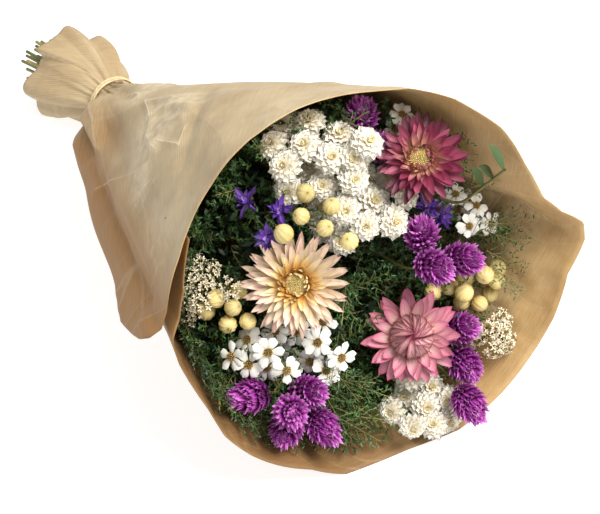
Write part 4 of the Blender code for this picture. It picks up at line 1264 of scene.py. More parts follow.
def heads_as_balls(plants):
    """Centre and radius of a ball, or several, inside each head, as one array."""
    balls = []
    for name, plant in plants.items():
        for point, direction in plant.get("heads", []):
            if name in BLOOM_REACH:
                reach = BLOOM_REACH[name] * MM
                balls.append((*(point - direction * 2 * MM), 9 * MM))
                stand = aim(point, direction)
                for turn in range(14):
                    for share in (0.45, 0.8):
                        spot = stand @ (spin(turn * math.tau / 14) @ Vector((reach * share, 0, 0)))
                        balls.append((*spot, 4.2 * MM))
            elif name.startswith("canary"):
                for share in (0.28, 0.5, 0.72):
                    balls.append((*(point + direction * CANARY_LENGTH * share), CANARY_RADIUS * 0.95))
            else:
                balls.append((*point, SPRAYS[name][4] * 0.9 * MM))
    return np.array(balls)


def under_cover(point, room):
    """Whether a point is inside the paper with room to spare, or beyond its rim but within its line."""
    if above_ground(point) < room + PAPER:
        return False
    shift = lean_at(point[2])
    x, y = point[0] - shift.x, point[1] - shift.y
    clock = math.degrees(math.atan2(x, y)) % 360
    for layer in (clock, clock + 360):
        if LAP_FROM <= layer <= 360 + LAP_TO:
            if math.hypot(x, y) + room > paper_radius(layer, min(point[2], rim_at(layer)[0])):
                return False
    return True


def hidden(balls, points):
    """Which of the points lie inside a ball."""
    gaps = np.linalg.norm(points[:, None] - balls[None, :, :3], axis=2) - balls[:, 3]
    return gaps.min(axis=1) < 0


def leaflet_outline(t):
    """Half width of a fern's leaflet."""
    return pointed(t, 3.0, 0.35)


LEAFLETS = [
    blade(2.9 * MM * k, 1.15 * MM, leaflet_outline, 2, 2, lift=0.1, curl=curl, cup=0.5, keel=1.0)
    for k, curl in ((1.0, 0.5), (0.8, 0.9), (1.2, 0.2), (1.0, -0.3))
]
DEEP_LEAFLETS = [
    blade(6.5 * MM * k, 3.0 * MM, leaflet_outline, 2, 1, lift=0.1, curl=curl)
    for k, curl in ((1.0, 0.5), (0.8, 0.9), (1.2, 0.2))
]
TWIG_RADIUS = 0.16 * MM
PLUME_TWIGS = 34  # short twigs between the needles of a plume


def twig_into(sculpt, balls, start, end, leaflets, spacing, shade, rng, sag=0.0):
    """A thin twig with leaflets all round it, none inside a bloom."""
    run = end - start
    length = run.length
    way = run / length
    side = way.orthogonal().normalized()
    other = way.cross(side)
    bow = side * math.cos(rng.uniform(0, math.tau)) + other * math.sin(rng.uniform(0, math.tau))
    count = max(2, int(length / spacing))
    shares = [(i + 0.5) / count for i in range(count)]
    spots = [start + run * share + bow * sag * math.sin(math.pi * share) for share in shares]
    clear = ~hidden(balls, np.array([tuple(spot) for spot in spots]))
    if clear.any():
        path = [start, *[spot for spot, free in zip(spots[1::3], clear[1::3]) if free]]
        if len(path) > 1:
            sculpt.add(rod(path, TWIG_RADIUS, 3), slot=1, shade=shade)
    for i, (spot, free) in enumerate(zip(spots, clear)):
        if free and under_cover(spot, 3.6 * MM):
            angle = i * GOLDEN_ANGLE + rng.uniform(-0.5, 0.5)
            out = side * math.cos(angle) + other * math.sin(angle)
            leafward = way * rng.uniform(0.5, 1.1) + out
            matrix = along(spot, leafward, rng.uniform(0, math.tau), rng.uniform(0.7, 1.15))
            tint, lightness = rng.random(), shade + rng.uniform(-0.12, 0.12)
            sculpt.add(leaflets[i % len(leaflets)], matrix, tint=tint, shade=lightness)


def frond_look(name, plant, balls, rng):
    """A plume: every needle of the frond a twig with leaflets, and shorter twigs between them."""
    sculpt = Sculpt(name + ".plume")
    stem_into(sculpt, plant["stem"], slot=1)
    tip, base = plant["stem"][0], plant["stem"][1]
    for start, end in plant["needles"]:
        twig_into(sculpt, balls, start, end, LEAFLETS, 0.85 * MM, 0.55, rng)
    stand = aim(base, tip - base).to_3x3()
    for i in range(PLUME_TWIGS):
        share = -0.35 + 1.33 * i / (PLUME_TWIGS - 1)
        start = base.lerp(tip, share)
        angle = i * GOLDEN_ANGLE + 1.0
        pitch = math.radians(64 - 34 * max(0, share))
        way = stand @ polar(angle, pitch)
        end = start + way * rng.uniform(11, 19) * MM * (1.1 - 0.4 * max(0, share))
        if under_cover(end, 2.5 * MM):
            twig_into(sculpt, balls, start, end, LEAFLETS, 0.9 * MM, 0.35 + 0.25 * max(0, share), rng)
    twig_into(sculpt, balls, base, tip + (tip - base).normalized() * 4 * MM, LEAFLETS, 0.8 * MM, 0.6, rng)
    return sculpt


def canopy(x, y):
    """Height of the blooms over a place in the mouth."""
    spots = np.array([place_of(name)[0] for name in LAYOUT])
    gaps = np.hypot(spots[:, 0] - x, spots[:, 1] - y) + 6 * MM
    weights = gaps**-3.0
    return float((spots[:, 2] * weights).sum() / weights.sum())


LINING = (518, 622)  # clock angles between which shoots lie along the inside of the paper
HOLLOW = (-42, 50, 10)  # a dark gap in the greenery: its place across the mouth and its radius in mm
HOLLOW_DEPTH = 40  # in mm below the blooms
MOUTH_REACH = 125 * MM  # how far from the axis shoots are looked for

# The layers of side shoots: depth in mm below the blooms, distance apart, leaflets, their spacing and shade.
# The shade is painted shade: it is lower for the deeper layers, which are painted darker.
SHOOTS = [
    (7, 8.5 * MM, LEAFLETS, 0.95 * MM, 0.62),
    (15, 8.0 * MM, LEAFLETS, 0.95 * MM, 0.44),
    (28, 9.0 * MM, DEEP_LEAFLETS, 1.3 * MM, 0.26),
    (44, 9.0 * MM, DEEP_LEAFLETS, 1.2 * MM, 0.16),
    (64, 10.0 * MM, DEEP_LEAFLETS, 1.2 * MM, 0.10),
]

# Fine sprays among the blooms: fern, clock angle, distance from the axis, height, heading as a clock
# angle, rise, length, leaflet length and spacing, and shade; lengths in mm.
FEATHERS = [
    ("fern_low_middle", 181, 80, 281, 143, 0.3, 36, 3.6, 1.3, 0.72),
    ("fern_low_middle", 172, 72, 282, 128, 0.3, 34, 3.6, 1.3, 0.70),
    ("fern_low_middle", 186, 68, 279, 160, 0.4, 32, 3.6, 1.3, 0.66),
    ("fern_low_middle", 176, 60, 280, 110, 0.4, 30, 3.4, 1.3, 0.62),
    ("fern_low_outer", 190, 90, 280, 165, 0.2, 36, 3.6, 1.3, 0.66),
    ("fern_low_outer", 180, 96, 284, 140, 0.1, 34, 3.4, 1.3, 0.70),
    ("fern_low_outer", 172, 88, 286, 120, 0.1, 30, 3.4, 1.3, 0.72),
    ("fern_low_left", 202, 52, 275, 220, 0.5, 26, 3.2, 1.3, 0.62),
    ("fern_low_left", 232, 66, 272, 250, 0.3, 24, 3.0, 1.3, 0.70),
    ("fern_centre", 150, 30, 271, 40, 0.6, 26, 3.2, 1.3, 0.7),
    ("fern_centre", 90, 24, 273, 60, 0.6, 24, 3.2, 1.3, 0.7),
    ("fern_centre", 200, 20, 272, 220, 0.6, 20, 3.0, 1.3, 0.66),
    ("fern_rim_left", 240, 96, 258, 235, 0.3, 30, 3.0, 1.4, 0.7),
    ("fern_rim_low", 214, 98, 268, 200, 0.2, 30, 3.0, 1.4, 0.7),
    ("fern_right", 84, 104, 285, 74, 0.2, 30, 2.6, 1.5, 0.5),
    ("fern_right", 90, 107, 286, 112, 0.1, 30, 2.6, 1.5, 0.45),
    ("fern_right", 97, 106, 286, 128, 0.1, 30, 2.6, 1.5, 0.5),
    ("fern_right", 105, 106, 287, 134, 0.1, 30, 2.6, 1.5, 0.45),
    ("fern_right_low", 112, 103, 288, 150, 0.1, 26, 2.6, 1.5, 0.5),
    ("fern_right_top", 64, 108, 270, 78, 0.2, 46, 2.8, 2.0, 0.5),
    ("fern_right_top", 74, 110, 280, 92, 0.1, 34, 2.6, 1.8, 0.5),
    ("fern_top", 12, 84, 244, 330, 0.5, 28, 3.0, 1.5, 0.62),
    ("fern_top", 24, 92, 250, 60, 0.4, 26, 3.0, 1.5, 0.62),
    ("fern_top_right", 42, 96, 254, 52, 0.4, 30, 2.8, 1.5, 0.62),
    ("fern_left_top", 345, 84, 232, 320, 0.5, 28, 3.0, 1.5, 0.7),
    ("fern_left_upper", 322, 78, 232, 300, 0.6, 28, 3.0, 1.5, 0.7),
]


def nearest_point(run, spot):
    """The point of a stretch of stem that is nearest to a spot."""
    _, a, b = run
    return a.lerp(b, min(1, max(0, (spot - a).dot(b - a) / (b - a).length_squared)))


def nearest_run(runs, spot):
    """The stretch of stem that is nearest to a spot."""
    return min(runs, key=lambda run: (nearest_point(run, spot) - spot).length)


def in_hollow(x, y, depth):
    """Whether a place across the mouth is in the dark gap; x and y in metres and depth in mm."""
    return depth < HOLLOW_DEPTH and math.hypot(x / MM - HOLLOW[0], y / MM - HOLLOW[1]) < HOLLOW[2]


def layered_shoots(sculpts, runs, balls, rng):
    """Side shoots on a loose grid across the mouth, in layers below the blooms."""
    for depth, step, leaflets, spacing, shade in SHOOTS:
        reach = int(MOUTH_REACH / step)
        for i in range(-reach, reach + 1):
            for j in range(-reach, reach + 1):
                x = (i + rng.uniform(-0.5, 0.5)) * step
                y = (j + rng.uniform(-0.5, 0.5)) * step
                spot = Vector((x, y, canopy(x, y) - depth * MM + rng.uniform(-5, 5) * MM))
                if in_hollow(x, y, depth) or not under_cover(spot, 3.5 * MM):
                    continue
                run = nearest_run(runs, spot)
                away = (spot - nearest_point(run, spot)).normalized()
                way = (away * 0.7 + FRONT * 0.8 + scatter(rng, 0.6)).normalized()
                start, end = spot - way * 9 * MM, spot + way * 4 * MM
                if under_cover(end, 3 * MM) and under_cover(start, 3 * MM):
                    sculpt = sculpts[run[0]]
                    twig_into(sculpt, balls, start, end, leaflets, spacing, shade, rng, sag=1 * MM)


def lining_shoots(sculpts, runs, balls, rng):
    """Shoots that lie along the inside of the paper, up to its rim."""
    for clock in np.arange(LINING[0], LINING[1], 2.2):
        rim = rim_at(clock)[0]
        for share in np.arange(0.60, 1.005, 0.027):
            gap = rng.uniform(4, 10) * MM
            place = clock + rng.uniform(-1.1, 1.1)
            start, end = [
                clock_point(place, paper_radius(clock, height) - gap, height) + lean_at(height)
                for height in (rim * share - 13 * MM, rim * share)
            ]
            sculpt = sculpts[nearest_run(runs, end)[0]]
            # These shoots get a low shade: painted shade, which darkens the foliage that lines the paper.
            twig_into(sculpt, balls, start, end, LEAFLETS, 0.9 * MM, 0.26, rng, sag=1 * MM)


def feathers(sculpts, balls, rng):
    """The fine sprays among the blooms."""
    for name, clock, radius, height, heading, rise, length, leaf, spacing, shade in FEATHERS:
        tip = clock_point(clock, radius, height) * MM
        way = clock_point(heading, 1, rise).normalized()
        feather_into(sculpts[name], balls, tip, way, length * MM, leaf, spacing * MM, shade, rng)


def undergrowth(plants, balls, rng):
    """Side shoots of the ferns that fill the depth of the bouquet below its blooms, one mesh a fern."""
    ferns = [name for name in plants if name.startswith("fern")]
    sculpts = {name: Sculpt(name + ".shoots") for name in ferns}
    runs = []
    for name in ferns:
        stem = plants[name]["stem"]
        runs += [(name, Vector(a), Vector(b)) for a, b in zip(stem[:3], stem[1:3])]
    layered_shoots(sculpts, runs, balls, rng)
    lining_shoots(sculpts, runs, balls, rng)
    feathers(sculpts, balls, rng)
    return sculpts


def feather_into(sculpt, balls, tip, way, length, leaf, spacing, shade, rng):
    """A fine arching spray: a pale stem with side twigs of narrow leaflets that face the mouth."""
    side = way.cross(FRONT).normalized()
    shapes = [
        blade(leaf * k * MM, leaf * 0.34 * MM, pointed, 2, 2, lift=0.1, curl=curl, cup=0.4)
        for k, curl in ((1, 0.3), (0.8, -0.2))
    ]
    arch = [
        tip - way * length * (1 - share) - FRONT * 5 * MM * (1 - share) ** 2
        for share in np.linspace(0, 1, 13)
    ]
    arch = [spot for spot in arch if under_cover(spot, 1.5 * MM)]
    if len(arch) > 2:
        sculpt.add(rod(arch, 0.24 * MM, 4), slot=1, shade=0.6 * shade)
        for i, start in enumerate(arch):
            out = way + side * (1 if i % 2 else -1) * rng.uniform(0.5, 0.9) + FRONT * rng.uniform(0, 0.3)
            end = start + out.normalized() * (length * (0.40 - 0.018 * i))
            twig_into(sculpt, balls, start, end, shapes, spacing, shade, rng, sag=1 * MM)


def broad_leaf(t):
    """Half width of a broad leaf."""
    return pointed(t, 2.2, 0.15)


def leafy_look(name, plant):
    """A stem with broad glossy leaves in pairs."""
    sculpt = Sculpt(name + ".leaves")
    stem_into(sculpt, plant["stem"], slot=1)
    for start, way, side, length in plant["leaves"]:
        shape = blade(length, LEAF_WIDTH, broad_leaf, 10, 6, lift=0.1, curl=-0.35, cup=0.22, keel=1.3)
        axes = Matrix((way, side, way.cross(side).normalized())).transposed()
        matrix = Matrix.Translation(start) @ axes.to_4x4()
        sculpt.add(shape, matrix, slot=0)
    return sculpt


# --- Paper and tie ----------------------------------------------------------------------------


CONE_SLOPE = math.radians(18)


def flat_places(clocks, heights):
    """Where points of the cone lie in the flat sheet, in mm; heights are in mm. The skirt lies apart."""
    slants = np.abs(heights) / math.cos(CONE_SLOPE) + 60
    angles = np.radians(clocks) * math.sin(CONE_SLOPE)
    apart = np.where(np.asarray(heights) < 0, 1000, 0)
    return np.stack([slants * np.cos(angles) + apart, slants * np.sin(angles)], axis=-1)


# The folds that show most: their points as clock angle and height in mm, the ridge's height in mm (a
# valley where it is below 0), its half width in mm, and how far its edge is rubbed pale.
CREASES = [
    ([(271, 87), (291, 117), (309, 146), (317, 149)], 0.8, 4, 0.35),
    ([(278, 96), (275, 137), (273, 176), (272, 214)], -3.0, 12, 0.0),
    ([(284, 98), (284, 150), (281, 200)], 1.2, 12, 0.0),
    ([(312, 168), (300, 165), (289, 163)], 0.7, 3, 0.3),
    ([(300, 150), (292, 180), (286, 196)], 0.5, 3, 0.2),
    ([(341, 83), (347, 96), (350, 131)], 1.1, 5, 0.8),
    ([(341, 83), (332, 114), (322, 124), (320, 148)], 1.3, 4, 1.0),
    ([(324, 144), (329, 170), (337, 162)], 1.0, 3, 1.0),
    ([(322, 128), (334, 134), (341, 150)], 0.9, 4, 0.7),
    ([(312, 6), (298, 38), (286, 61)], 2.2, 6, 0.4),
    ([(324, 20), (314, 60), (306, 96)], -1.0, 6, 0.0),
    ([(285, 34), (274, 77), (272, 118)], -1.6, 7, 0.0),
    ([(364, 130), (352, 152), (338, 170), (322, 190)], -1.8, 9, 0.0),
    ([(346, 147), (369, 181), (388, 201)], 1.4, 13, 0.0),
    ([(356, 96), (372, 150), (384, 186)], -1.2, 10, 0.0),
    ([(332, 198), (308, 221), (291, 227)], -1.0, 12, 0.0),
    ([(402, 150), (412, 205), (418, 250)], 1.6, 10, 0.1),
    ([(418, 250), (430, 236), (446, 238)], -1.4, 8, 0.0),
    ([(430, 190), (440, 236), (452, 290)], 2.6, 8, 0.8),
    ([(446, 262), (458, 246), (470, 250), (480, 232)], 2.4, 7, 0.9),
    ([(452, 215), (462, 250), (466, 284)], -1.6, 8, 0.0),
    ([(478, 200), (486, 240), (488, 276)], 2.2, 8, 0.7),
    ([(500, 214), (506, 250), (510, 280)], -1.4, 9, 0.0),
    ([(536, 214), (542, 262)], 1.2, 9, 0.2),
    ([(322, -46), (328, -31), (334, -20), (342, -7)], 1.2, 4, 0.3),
    ([(355, -48), (354, -26), (364, -6)], -1.6, 5, 0.0),
    ([(366, -46), (370, -26), (374, -8)], 0.9, 5, 0.3),
    ([(398, -40), (392, -22), (379, -7)], -1.6, 5, 0.0),
    ([(296, -46), (304, -26), (312, -8)], 0.7, 5, 0.2),
]

# Crumpled patches: clock angle, height and radius in mm.
CRUMPLES = [(334, 128, 36), (362, 60, 26), (452, 256, 46), (478, 262, 34), (420, 214, 26), (300, 150, 18)]

# Folds of the skirt that lie over one another: clock angle at the tie and at the end, depth in mm,
# degrees over which the lower side falls, and degrees of the step.
SKIRT_FOLDS = [
    (342, 319, 7, 50, 4),
    (374, 392, 4, 8, 30),
    (90, 82, 6, 30, 8),
    (160, 152, 6, 30, 8),
    (232, 226, 6, 34, 8),
]
SHEET = 0.35 * MM  # the real sheet is thinner than its solid
RIM_BAND = 12 * MM  # its creases are flatter this near to the rim
GROUND_GAP = 0.05 * MM


def from_fold(places, corners):
    """How places lie from a fold: how far away, how far aside with its sign, and how far past an end."""
    away = np.full(len(places), 1e3)
    side = np.zeros(len(places))
    past = np.zeros(len(places))
    for start, end in zip(corners, corners[1:]):
        run = end - start
        length = math.hypot(*run)
        gap = places - start
        along_run = gap @ run / length
        across = (gap[:, 0] * run[1] - gap[:, 1] * run[0]) / length
        beyond = np.maximum(0, np.maximum(-along_run, along_run - length))
        distance = np.hypot(across, beyond)
        closer = distance < away
        away = np.where(closer, distance, away)
        side = np.where(closer, across, side)
        past = np.where(closer, beyond, past)
    return away, side, past


def creased(places):
    """What the folds do at places in the flat sheet: relief, distance from a rubbed edge, how rubbed."""
    relief = np.zeros(len(places))
    edge = np.full(len(places), 99.0)
    rubbed = np.zeros(len(places))
    for points, ridge, width, pale in CREASES:
        away, side, past = from_fold(places, flat_places(*np.array(points, float).T))
        relief += ridge * np.maximum(0, 1 - away / width)
        if pale:
            near = (away < 6) & (away < np.abs(edge))
            edge = np.where(near, side, edge)
            rubbed = np.where(near, pale * np.clip(1 - past / 3, 0, 1), rubbed)
    return relief, edge, rubbed


def from_crease(along, across, scale, stretch, seed):
    """Signed distance in mm from the creases that a stretched noise draws where it is zero."""
    return noise.noise(Vector((along * scale / stretch, across * scale, seed))) / (1.4 * scale) / MM


def roof(distance, width):
    """The height of a fold from 1 at its crease, falling straight to 0 at its width."""
    return max(0.0, 1 - abs(distance) / width)


def crumpling(x, y, place):
    """How crumpled the sheet is at a point of the flat sheet, in metres and in mm, from 0 to 1."""
    crumpled = 0.3 * ease(noise.noise(Vector((x * 13, y * 13, 41.0))), 0.05, 0.35)
    for middle, level, radius in CRUMPLES:
        off = np.hypot(*(place - flat_places(middle, level)))
        crumpled = max(crumpled, 1 - ease(off, 0.4 * radius, radius))
    return crumpled


def gathers(bearing, height):
    """Height in mm of the small gathers near the tie."""
    waves = math.sin(math.radians(bearing * 17)) + 0.6 * math.sin(math.radians(bearing * 31 + 40))
    return 0.8 * waves * (1 - ease(abs(height), 2 * MM, 26 * MM)) * ease(abs(height), 0, 5 * MM)


def tuck_at(bearing, height):
    """How deep a point is in the tuck beside the tie, from 0 to 1."""
    turned = bearing - (286 - 7 * ease(height, 0, 70 * MM))
    return max(0.0, 1 - max(turned / 5, -turned / 15)) * swell(height, 0, 24 * MM, 74 * MM)


def skirt_depth(bearing, height):
    """How far in mm the folds of the skirt step in at a point."""
    total = 0.0
    share = ease(-height, 3 * MM, SKIRT_LENGTH)
    for at_tie, at_end, depth, fall, step in SKIRT_FOLDS:
        turned = (bearing - at_tie - (at_end - at_tie) * share + 180) % 360 - 180
        total += depth * share * max(0.0, 1 - max(turned / step, -turned / fall))
    return total


def shading(clock, height, tuck):
    """How much painted shade the sheet gets, from 0 to 1: in its tuck, left, neck, inside and skirt."""
    left = 1.0 * (1 - ease(clock, 272, 304)) * ease(height, 0, 40 * MM)
    neck = 0.7 * swell(height, 4 * MM, 60 * MM, 130 * MM) * swell(clock, 255, 300, 335)
    inner = 0.3 * swell(clock, 385, 408, 440) + 0.9 * ease(clock, 505, 545) * ease(height, 150 * MM, 230 * MM)
    skirt = 0.15 * ease(-height, 2 * MM, 8 * MM)
    return max(0.9 * tuck**0.6, left, neck, inner, skirt)


def crumple(clock, height):
    """The sheet's loose creases at a point: relief in mm, two distances from creases, crumpling and shade."""
    place = flat_places(clock, height / MM)
    x, y = place * MM
    turned_x, turned_y = (x + y) * 0.7071, (y - x) * 0.7071
    long_fold = from_crease(math.hypot(x, y), math.radians(clock) * 0.05, 17, 5.0, 3.0)
    fine_fold = from_crease(turned_y + 0.3 * turned_x, turned_x, 52, 2.2, 17.0)
    crumpled = crumpling(x, y, place)
    relief = 1.6 * roof(long_fold, 9) + 2.1 * crumpled * roof(fine_fold, 4)
    relief += 1.8 * max(0, noise.noise(Vector((x * 10, y * 10, 31.0))) + 0.2)
    relief *= 0.3 + 0.7 * ease(abs(height), 0, 30 * MM)
    bearing = clock % 360
    tuck = tuck_at(bearing, height)
    relief += gathers(bearing, height) - 9 * tuck - skirt_depth(bearing, height)
    return relief, long_fold, fine_fold, crumpled, shading(clock, height, tuck)


def sheet_point(clock, height, relief):
    """A point of the creased sheet: relief in mm stands out from the smooth one, less so near the rim."""
    to_rim = rim_at(clock)[0] - height
    if to_rim < RIM_BAND:
        relief *= 0.35 + 0.65 * to_rim / RIM_BAND
    point = paper_point(clock, height)
    outward = Vector((point.x, point.y, -math.hypot(point.x, point.y) * 0.3)).normalized()
    spot = AXIS @ (point + outward * relief * MM)
    spot.z = max(spot.z, SHEET / 2 + GROUND_GAP)
    return spot


def paper_look(outside, inside):
    """The sheet, finely divided, creased and thickened."""
    columns = np.concatenate([np.linspace(LAP_FROM, LAP_TO, 70), np.linspace(LAP_TO, 360 + LAP_TO, 330)[1:]])
    skirt = np.linspace(-SKIRT_LENGTH, -NECK_BAND, 34)
    shares = np.linspace(0, 1, 90) ** 1.1
    spots = [
        (clock, height)
        for clock in columns
        for height in [*skirt, *(NECK_BAND + shares * (rim_at(clock)[0] - NECK_BAND))]
    ]
    clocks, heights = np.array(spots).T
    lapped = np.where(clocks > 360 + LAP_FROM, clocks - 360, clocks)
    folded, edges, rubbed = creased(flat_places(lapped, heights / MM))
    points, folds, states = [], [], []
    for (clock, height), fold, edge, rub in zip(spots, folded, edges, rubbed):
        relief, long_fold, fine_fold, crumpled, shaded = crumple(clock, height)
        points.append(sheet_point(clock, height, relief + fold))
        folds.append((edge, long_fold, fine_fold))
        states.append((rub, crumpled, shaded))
    faces = quads(len(columns) - 1, len(skirt) + len(shares) - 1)
    mesh = bpy.data.meshes.new("kraft_wrap.sheet")
    mesh.from_pydata(points, [], faces[:, ::-1].tolist())
    flats = np.column_stack([flat_places(clocks, heights / MM) * MM, np.zeros(len(spots))])
    for name, values in (("flat", flats), ("folds", folds), ("state", states)):
        attribute = mesh.attributes.new(name, "FLOAT_VECTOR", "POINT")
        attribute.data.foreach_set("vector", np.array(values, np.float32).ravel())
    mesh.materials.append(inside)
    mesh.materials.append(outside)
    mesh.shade_smooth()
    obj = show(mesh, "kraft_paper", "kraft_wrap")
    solid = obj.modifiers.new("thickness", "SOLIDIFY")
    solid.thickness = SHEET
    solid.offset = 0
    solid.material_offset = 1
    return obj


TIE_STRANDS = 9
STRAND_RADIUS = 0.42 * MM


def tie_look(paint):
    """Nine strands of raffia wound side by side round the gathered paper."""
    sculpt = Sculpt("raffia_tie.strands")
    rng = random.Random(5)
    for strand in range(TIE_STRANDS):
        phase = strand * 0.7
        points = []
        for i in range(73):
            clock = i * 5
            radius = TIE_RADIUS - 0.3 * MM + 0.5 * MM * math.sin(math.radians(clock) * 3 + phase * 2.1)
            height = (strand - 4) * STRAND_RADIUS + 0.5 * MM * math.sin(math.radians(clock) * 2 + phase)
            points.append(clock_point(clock, radius, height))
        sculpt.add(rod(points, STRAND_RADIUS, 5), tint=rng.random())
    return sculpt.finish([paint], "raffia", "raffia_tie")


# --- Whole bouquet ----------------------------------------------------------------------------


# The paints of petals: name, stops along the petal (each a place from 0 to 1 and its colour), roughness,
# how strong the streaks are, how much petals differ, and colours or a grain that only some have.
PETAL_PAINTS = {
    "petal_peach": (
        "peach_bracts",
        [
            (0.0, 212, 152, 76), (0.3, 234, 194, 128), (0.6, 240, 218, 176), (0.88, 236, 206, 180),
            (1.0, 204, 152, 140),
        ],
        0.42, 0.24, 0.2, {"by_tint": (234, 196, 180)},
    ),
    "petal_pink": (
        "pink_bracts",
        [
            (0.0, 238, 210, 172), (0.25, 236, 194, 176), (0.6, 226, 160, 168), (0.9, 208, 116, 142),
            (1.0, 184, 76, 108),
        ],
        0.42, 0.32, 0.2, {"edge": (204, 104, 134)},
    ),
    "petal_burgundy": (
        "burgundy_bracts",
        [(0.0, 216, 160, 130), (0.25, 182, 94, 106), (0.55, 148, 48, 80), (1.0, 106, 24, 52)],
        0.4, 0.35, 0.28, {"by_tint": (176, 84, 112)},
    ),
    "heart_peach": (
        "golden_inner_bracts",
        [(0.0, 206, 142, 60), (0.35, 232, 182, 96), (0.75, 246, 220, 158), (1.0, 248, 232, 190)],
        0.45, 0.25, 0.25, {},
    ),
    "heart_pink": (
        "pink_heart_bracts",
        [
            (0.0, 190, 110, 118), (0.35, 232, 172, 170), (0.72, 220, 150, 156), (0.88, 156, 66, 88),
            (1.0, 92, 28, 48),
        ],
        0.42, 0.25, 0.2, {"edge": (112, 32, 56)},
    ),
    "heart_burgundy": (
        "blush_inner_bracts",
        [(0.0, 214, 170, 120), (0.4, 208, 144, 130), (0.8, 172, 84, 104), (1.0, 140, 50, 78)],
        0.45, 0.3, 0.25, {},
    ),
    "disc": (
        "golden_disc",
        [(0.0, 196, 160, 84), (0.5, 232, 206, 126), (1.0, 244, 228, 164)],
        0.7, 0.1, 0.3, {},
    ),
    "button_heart": (
        "cream_florets",
        [(0.0, 236, 214, 154), (0.6, 248, 238, 204), (1.0, 252, 247, 228)],
        0.55, 0.1, 0.12, {},
    ),
    "daisy_disc": (
        "brown_gold_disc",
        [(0.0, 124, 92, 44), (1.0, 206, 168, 96)],
        0.7, 0.1, 0.4, {},
    ),
    "button": (
        "ivory_florets",
        [(0.0, 226, 208, 160), (0.4, 248, 240, 218), (1.0, 252, 248, 236)],
        0.55, 0.1, 0.1, {},
    ),
    "daisy": (
        "white_petals",
        [(0.0, 224, 220, 196), (0.35, 246, 244, 234), (1.0, 255, 254, 248)],
        0.5, 0.1, 0.12, {},
    ),
    "pod": (
        "straw_pods",
        [(0.0, 176, 146, 84), (0.35, 222, 198, 122), (0.75, 234, 214, 146), (1.0, 190, 158, 88)],
        0.5, 0.22, 0.25, {"grain": (40, 2.0)},
    ),
    "canary": (
        "purple_scales",
        [(0.0, 112, 28, 108), (0.5, 188, 74, 180), (0.85, 220, 128, 214), (1.0, 232, 176, 226)],
        0.5, 0.3, 0.3, {},
    ),
    "larkspur": (
        "violet_petals",
        [(0.0, 170, 130, 200), (0.25, 108, 64, 164), (1.0, 78, 40, 130)],
        0.5, 0.25, 0.25, {},
    ),
    "larkspur_throat": (
        "pale_throat",
        [(0.0, 190, 160, 220), (1.0, 140, 96, 200)],
        0.5, 0.2, 0.3, {},
    ),
    "statice": (
        "cream_statice",
        [(0.0, 228, 212, 172), (1.0, 250, 242, 218)],
        0.7, 0.1, 0.3, {},
    ),
    "raffia": (
        "raffia_strands",
        [(0.0, 222, 196, 146), (1.0, 230, 206, 160)],
        0.6, 0.3, 0.2, {"grain": (6, 60)},
    ),
}

# The paints of leaves and stems: name, colours of dark, light and dry ones, and roughness.
LEAF_PAINTS = {
    "stem": ("dry_stems", (86, 92, 44), (128, 124, 66), (160, 140, 90), 0.6),
    "fern": ("fern_leaflets", (24, 48, 22), (56, 92, 44), (104, 116, 64), 0.45),
    "leaf": ("broad_leaves", (50, 72, 40), (74, 98, 60), (120, 126, 84), 0.42),
}

# The two sides of the paper: colours of dark, middle, light, rubbed and shaded parts.
KRAFT_PAINTS = {
    "kraft_outside": ((168, 147, 114), (184, 163, 127), (196, 177, 141), (226, 210, 178), (152, 112, 64)),
    # The inside's colours are warmer than the outside's: painted light, for the warm light that shines
    # through the paper and bounces about inside the cone.
    "kraft_inside": ((172, 136, 86), (196, 160, 106), (212, 180, 128), (228, 204, 158), (128, 94, 56)),
}


def make_paints():
    """All materials of the bouquet, by their keys."""
    paints = {key: petal_paint(*values, **extra) for key, (*values, extra) in PETAL_PAINTS.items()}
    paints.update((key, leaf_paint(*values)) for key, values in LEAF_PAINTS.items())
    paints.update((key, kraft_paint(key, *colours)) for key, colours in KRAFT_PAINTS.items())
    return paints


SPRAY_PAINTS = {
    "pod": ("pod", "pod", "stem"),
    "larkspur": ("larkspur", "larkspur_throat", "stem"),
    "button": ("button", "button_heart", "stem"),
    "daisy": ("daisy", "daisy_disc", "stem"),
    "statice": ("statice", "statice", "stem"),
}
SPRAY_SLOTS = {
    "pod": "pod_straw",
    "larkspur": "larkspur_violet",
    "button": "button_white",
    "daisy": "daisy_white",
    "statice": "statice_cream",
}


STRAWFLOWERS = {
    "peach_strawflower": (PEACH_BRACTS, open_heart),
    "pink_strawflower": (PINK_BRACTS, closed_heart),
    "burgundy_strawflower": (BURGUNDY_BRACTS, open_heart),
}


def dress(plants, paints):
    """Gives every plant its looks, fills the depth with ferns, and adds the paper and the tie."""
    balls = heads_as_balls(plants)
    rng = random.Random(3)
    for name, (bracts, make_heart) in STRAWFLOWERS.items():
        strawflower(name, plants[name], bracts, paints, make_heart)
    for name, plant in plants.items():
        kind = name.split("_")[0]
        if kind == "canary":
            sculpt = Sculpt(name + ".look")
            stem_into(sculpt, plant["stem"], slot=1)
            canary_head(sculpt, *plant["heads"][0], 0)
            sculpt.finish([paints["canary"], paints["stem"]], "canary_purple", name)
        elif kind in SPRAY_PAINTS:
            sculpt = spray_look(name, plants, balls, rng)
            sculpt.finish([paints[key] for key in SPRAY_PAINTS[kind]], SPRAY_SLOTS[kind], name)
        elif kind == "leaf":
            leafy_look(name, plant).finish([paints["leaf"], paints["stem"]], "leaf_green", name)
        elif kind == "fern":
            frond_look(name, plant, balls, rng).finish([paints["fern"], paints["stem"]], "fern_green", name)
    for sculpt in undergrowth(plants, balls, rng).values():
        if sculpt.points:
            sculpt.finish([paints["fern"], paints["stem"]], "fern_green")
    paper_look(paints["kraft_outside"], paints["kraft_inside"])
    tie_look(paints["raffia"])


# --- Studio -----------------------------------------------------------------------------------


